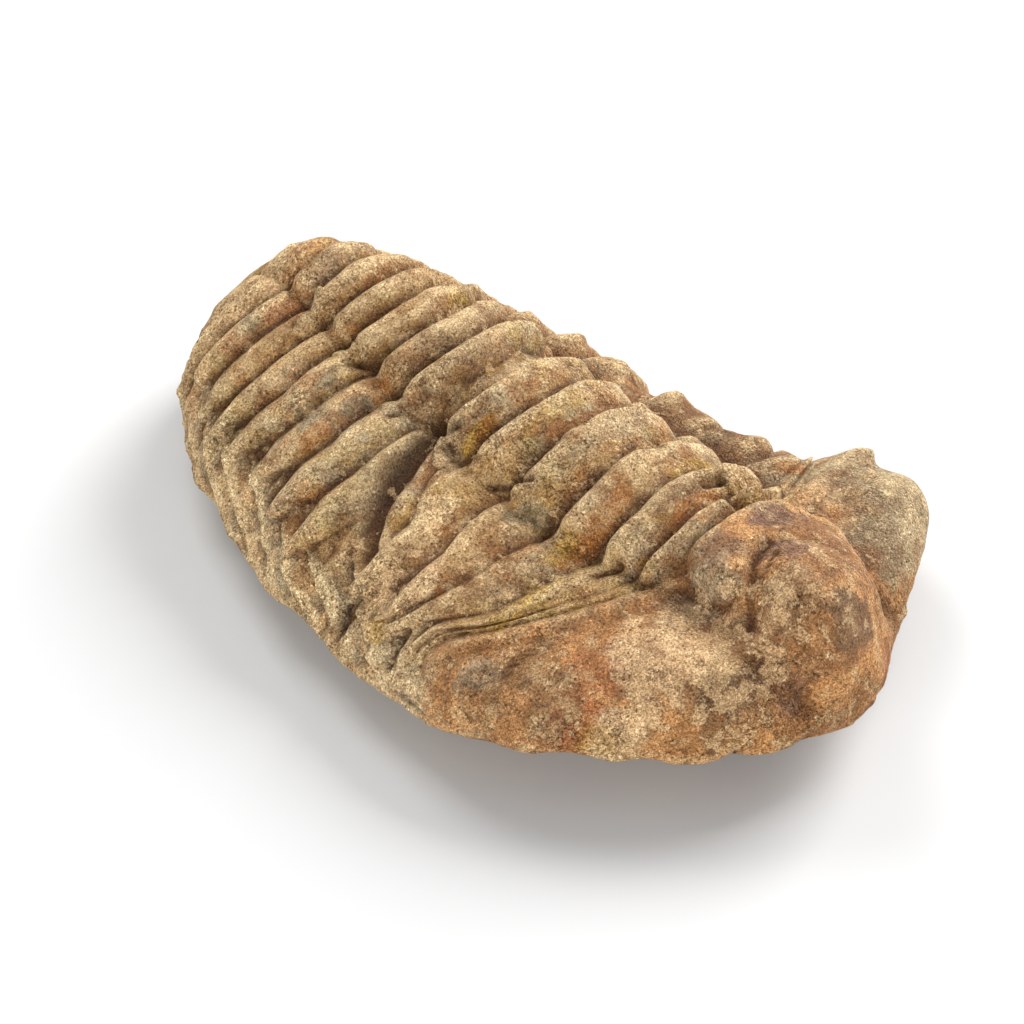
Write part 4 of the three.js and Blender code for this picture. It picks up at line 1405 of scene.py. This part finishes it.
@dataclass(frozen=True)
class StoneFinish:
    """Matt sandy stone with grains, ragged crusts, dark specks and hair cracks, and painted shadows at the
    feet of its ledges.
    """

    layers: tuple[Roughness, ...] = (
        Roughness(330.0, 6.0, 0.12, 0.34),
        Roughness(1150.0, 5.0, 0.12, 0.34),
        Roughness(3400.0, 4.0, 0.10, 0.26),
    )
    layer_span: Span = (0.32, 0.68)
    grain_scale: float = 9000.0
    grain_shades: Span = (0.5, 1.58)
    grain_height: float = 0.08
    ledge_scale: float = 240.0
    ledge_detail: float = 10.0
    ledge_edges: tuple[float, ...] = (0.42, 0.5, 0.58)
    ledge_slope: float = 0.012
    ledge_foot: Span = (0.004, 0.008)
    ledge_patches: Patches = Patches(120.0, 3.0, (0.45, 0.58))
    ledge_height: float = 0.36
    ledge_shade: float = 0.32
    crust_scale: float = 620.0
    crust_detail: float = 8.0
    crust_reach: float = 0.16
    crust_edge: Span = (0.6, 0.62)
    crust_cover: float = 0.55
    crust_height: float = 0.4
    speck_scale: float = 2700.0
    speck_size: Span = (0.24, 0.384)
    speck_patches: Patches = Patches(500.0, 3.0, (0.4, 0.56), 0.25)
    speck_kinds: Span = (0.5, 0.54)
    speck_swing: Span = (-0.62, 0.6)
    tint_powers: tuple[float, float, float] = (0.85, 1.0, 1.2)
    crack_scale: float = 230.0
    crack_detail: float = 5.0
    crack_middle: float = 0.5
    crack_width: float = 0.006
    crack_patches: Patches = Patches(170.0, 2.0, (0.5, 0.58))
    crack_shade: float = 0.5
    crack_depth: float = 0.16
    gloss_heights: Span = (-0.2, 0.2)
    roughness: Span = (0.7, 0.95)
    specular: float = 0.3

    def build(self) -> bpy.types.Material:
        """Make the material.

        Returns:
            The node material, driven by the stone's own colours and object coordinates.
        """
        material = bpy.data.materials.new(SLOT)
        material.use_nodes = True
        bench = NodeBench(material)
        shader = bench.tree.nodes["Principled BSDF"]
        paint = bench.node("ShaderNodeAttribute")
        paint.attribute_name = "paint"
        crust = self.crust(bench, paint.outputs["Alpha"])
        shade, height = self.unevenness(bench)
        _, grain = bench.cells(self.grain_scale)
        ledges, ledge_shadows = self.ledges(bench)
        cracks = self.cracks(bench)
        # grain and hair cracks vary the colour; the ledges' feet get a painted shadow
        for value, shades in (
            (grain, self.grain_shades), (ledge_shadows, (1.0, self.ledge_shade)), (cracks, (1.0, self.crack_shade))
        ):
            shade = bench.times(shade, bench.ramp(value, 0.0, 1.0, *shades))
        shade = bench.times(shade, self.specks(bench))
        for value, rise in ((grain, self.grain_height), (ledges, self.ledge_height)):
            height = bench.plus(height, bench.times(value, rise))
        bench.feed(shader.inputs["Roughness"], bench.ramp(height, *self.gloss_heights, *self.roughness))
        for value, rise in ((crust, self.crust_height), (cracks, -self.crack_depth)):
            height = bench.plus(height, bench.times(value, rise))
        tinted = bench.node("ShaderNodeVectorMath")
        tinted.operation = "MULTIPLY"
        bench.feed(tinted.inputs[0], bench.mix(crust, paint.outputs["Color"], Tone.CRUST.value))
        bench.feed(tinted.inputs[1], self.tint(bench, shade))
        bench.feed(shader.inputs["Base Color"], tinted.outputs[0])
        bench.feed(shader.inputs["Specular IOR Level"], self.specular)
        bump = bench.node("ShaderNodeBump", Strength=1.0, Distance=MM, Height=height)
        bench.feed(shader.inputs["Normal"], bump.outputs["Normal"])
        return material

    def unevenness(self, bench: NodeBench) -> tuple[Socket, Socket]:
        """Multiply the layers' shades and add up their heights.

        Args:
            bench: Where the nodes are added.

        Returns:
            The shade, around 1, and the height in mm.
        """
        shade, height = None, None
        for layer in self.layers:
            value = bench.noise(layer.scale, layer.detail)
            tint = bench.ramp(value, *self.layer_span, 1.0 - layer.shade, 1.0 + layer.shade)
            rise = bench.ramp(value, 0.0, 1.0, -layer.height, layer.height)
            shade = bench.times(shade, tint) if shade else tint
            height = bench.plus(height, rise) if height else rise
        return shade, height

    def ledges(self, bench: NodeBench) -> tuple[Socket, Socket]:
        """Flaked layers with crisp wandering edges.

        Args:
            bench: Where the nodes are added.

        Returns:
            The level, from 0, the lowest, to 1, and how close each point is to a ledge's foot, where the
            colour gets a painted shadow.
        """
        value = bench.noise(self.ledge_scale, self.ledge_detail)
        cover = self.ledge_patches.cover(bench)
        level, near = None, None
        for edge in self.ledge_edges:
            step = bench.ramp(value, edge, edge + self.ledge_slope, 0.0, 1.0 / len(self.ledge_edges))
            below = bench.ramp(value, edge - self.ledge_slope, edge)
            above = bench.ramp(value, *(edge + rise for rise in self.ledge_foot), 1.0, 0.0)
            foot = bench.times(below, above)
            level = bench.plus(level, step) if level else step
            near = bench.plus(near, foot) if near else foot
        return bench.times(level, cover), bench.times(near, cover)

    def tint(self, bench: NodeBench, shade: Socket) -> Socket:
        """Turn a shade into a colour factor whose dark end is browner.

        Args:
            bench: Where the nodes are added.
            shade: The shade, around 1.

        Returns:
            The factor for red, green and blue.
        """
        parts = bench.node("ShaderNodeCombineXYZ")
        for socket, power in zip(parts.inputs, self.tint_powers):
            bench.feed(socket, bench.math("POWER", shade, power))
        return parts.outputs[0]

    def crust(self, bench: NodeBench, amount: Socket) -> Socket:
        """Ragged pale crust.

        Args:
            bench: Where the nodes are added.
            amount: How thick the crust lies here, from 0 to 1.

        Returns:
            Its cover, from 0 to about a half.
        """
        value = bench.noise(self.crust_scale, self.crust_detail)
        thick = bench.plus(value, bench.times(amount, self.crust_reach))
        return bench.ramp(thick, *self.crust_edge, 0.0, self.crust_cover)

    def specks(self, bench: NodeBench) -> Socket:
        """Single dark and pale grains.

        Args:
            bench: Where the nodes are added.

        Returns:
            Their shade, 1 between them.
        """
        distance, kind = bench.cells(self.speck_scale)
        near = bench.ramp(distance, *self.speck_size, 1.0, 0.0)
        swing = bench.ramp(kind, *self.speck_kinds, *self.speck_swing)
        return bench.plus(bench.times(bench.times(near, self.speck_patches.cover(bench)), swing), 1.0)

    def cracks(self, bench: NodeBench) -> Socket:
        """Thin wandering hair cracks.

        Args:
            bench: Where the nodes are added.

        Returns:
            1 along a crack and 0 between them.
        """
        value = bench.noise(self.crack_scale, self.crack_detail)
        away = bench.math("ABSOLUTE", bench.math("SUBTRACT", value, self.crack_middle), 0.0)
        line = bench.ramp(away, 0.0, self.crack_width, 1.0, 0.0)
        return bench.times(line, self.crack_patches.cover(bench))


# ---------------------------------------------------------------- stage


@dataclass(frozen=True)
class Softbox:
    """One square light aimed at the stone: place and size in m, power in W."""

    name: str
    place: tuple[float, float, float]
    size: float
    power: float

    def build(self) -> None:
        """Hang the light."""
        data = bpy.data.lights.new(self.name, "AREA")
        data.shape = "SQUARE"
        data.size = self.size
        data.energy = self.power
        light = bpy.data.objects.new(self.name, data)
        place = Vector(self.place)
        aim = (-place).to_track_quat("-Z", "Y").to_matrix().to_4x4()
        light.matrix_world = Matrix.Translation(place) @ aim
        bpy.context.scene.collection.objects.link(light)


@dataclass
class Studio:
    """Pale floor, soft lights and the camera, in metres, degrees and pixels."""

    azimuth: float = -42.5
    elevation: float = 38.0
    roll: float = 0.7
    distance: float = 0.420
    target: tuple[float, float, float] = (0.0, -0.0007, 0.010)
    pixels_per_mm: float = 12.02
    centre: Span = (537.75, 462.4)
    frame_pixels: float = 1024.0
    sensor_width: float = 36.0
    floor_size: float = 3.0
    floor_shade: float = 0.60
    floor_roughness: float = 0.9
    sky_light: float = 0.41
    softboxes: tuple[Softbox, ...] = (
        Softbox("tail_light", (0.14, 0.52, 0.45), 0.36, 3.2),
        Softbox("side_light", (0.56, 0.04, 0.36), 0.40, 7.6),
        Softbox("fill_light", (-0.50, -0.36, 0.15), 0.50, 5.0),
    )

    def camera(self) -> None:
        """Add the camera."""
        az, el, roll = (math.radians(angle) for angle in (self.azimuth, self.elevation, self.roll))
        back = Vector((math.sin(az) * math.cos(el), -math.cos(az) * math.cos(el), math.sin(el)))
        level = Vector((math.cos(az), math.sin(az), 0.0))
        upright = back.cross(level)
        right = level * math.cos(roll) + upright * math.sin(roll)
        up = upright * math.cos(roll) - level * math.sin(roll)
        data = bpy.data.cameras.new("camera")
        data.sensor_width = self.sensor_width
        data.lens = self.pixels_per_mm * self.distance / MM * self.sensor_width / self.frame_pixels
        data.shift_x = 0.5 - self.centre[0] / self.frame_pixels
        data.shift_y = self.centre[1] / self.frame_pixels - 0.5
        camera = bpy.data.objects.new("camera", data)
        turn = Matrix((right, up, back)).transposed().to_4x4()
        camera.matrix_world = Matrix.Translation(Vector(self.target) + back * self.distance) @ turn
        bpy.context.scene.collection.objects.link(camera)
        bpy.context.scene.camera = camera

    def floor(self) -> None:
        """Add the floor."""
        bm = bmesh.new()
        bmesh.ops.create_grid(bm, x_segments=1, y_segments=1, size=self.floor_size)
        mesh = bpy.data.meshes.new("floor")
        bm.to_mesh(mesh)
        bm.free()
        floor = bpy.data.objects.new("floor", mesh)
        material = bpy.data.materials.new("pale_floor")
        material.use_nodes = True
        shader = material.node_tree.nodes["Principled BSDF"]
        shader.inputs["Base Color"].default_value = (*[self.floor_shade] * 3, 1.0)
        shader.inputs["Roughness"].default_value = self.floor_roughness
        mesh.materials.append(material)
        bpy.context.scene.collection.objects.link(floor)

    def build(self) -> None:
        """Set the whole stage."""
        self.floor()
        self.camera()
        for softbox in self.softboxes:
            softbox.build()
        world = bpy.data.worlds.new("world")
        world.use_nodes = True
        sky = world.node_tree.nodes["Background"]
        sky.inputs["Color"].default_value = (1, 1, 1, 1)
        sky.inputs["Strength"].default_value = self.sky_light
        bpy.context.scene.view_settings.view_transform = "Standard"
        bpy.context.scene.world = world
        LOG.info("studio: floor, camera, %d lights", len(self.softboxes))


def main() -> None:
    """Build the stone and its stage."""
    logging.basicConfig(level=logging.INFO)
    stone = FossilStone().build()
    stone.data.materials.append(StoneFinish().build())
    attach(stone, "root")
    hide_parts(NODE)
    LOG.info("stone: %d faces", len(stone.data.polygons))
    Studio().build()


if __name__ == "__main__":
    main()
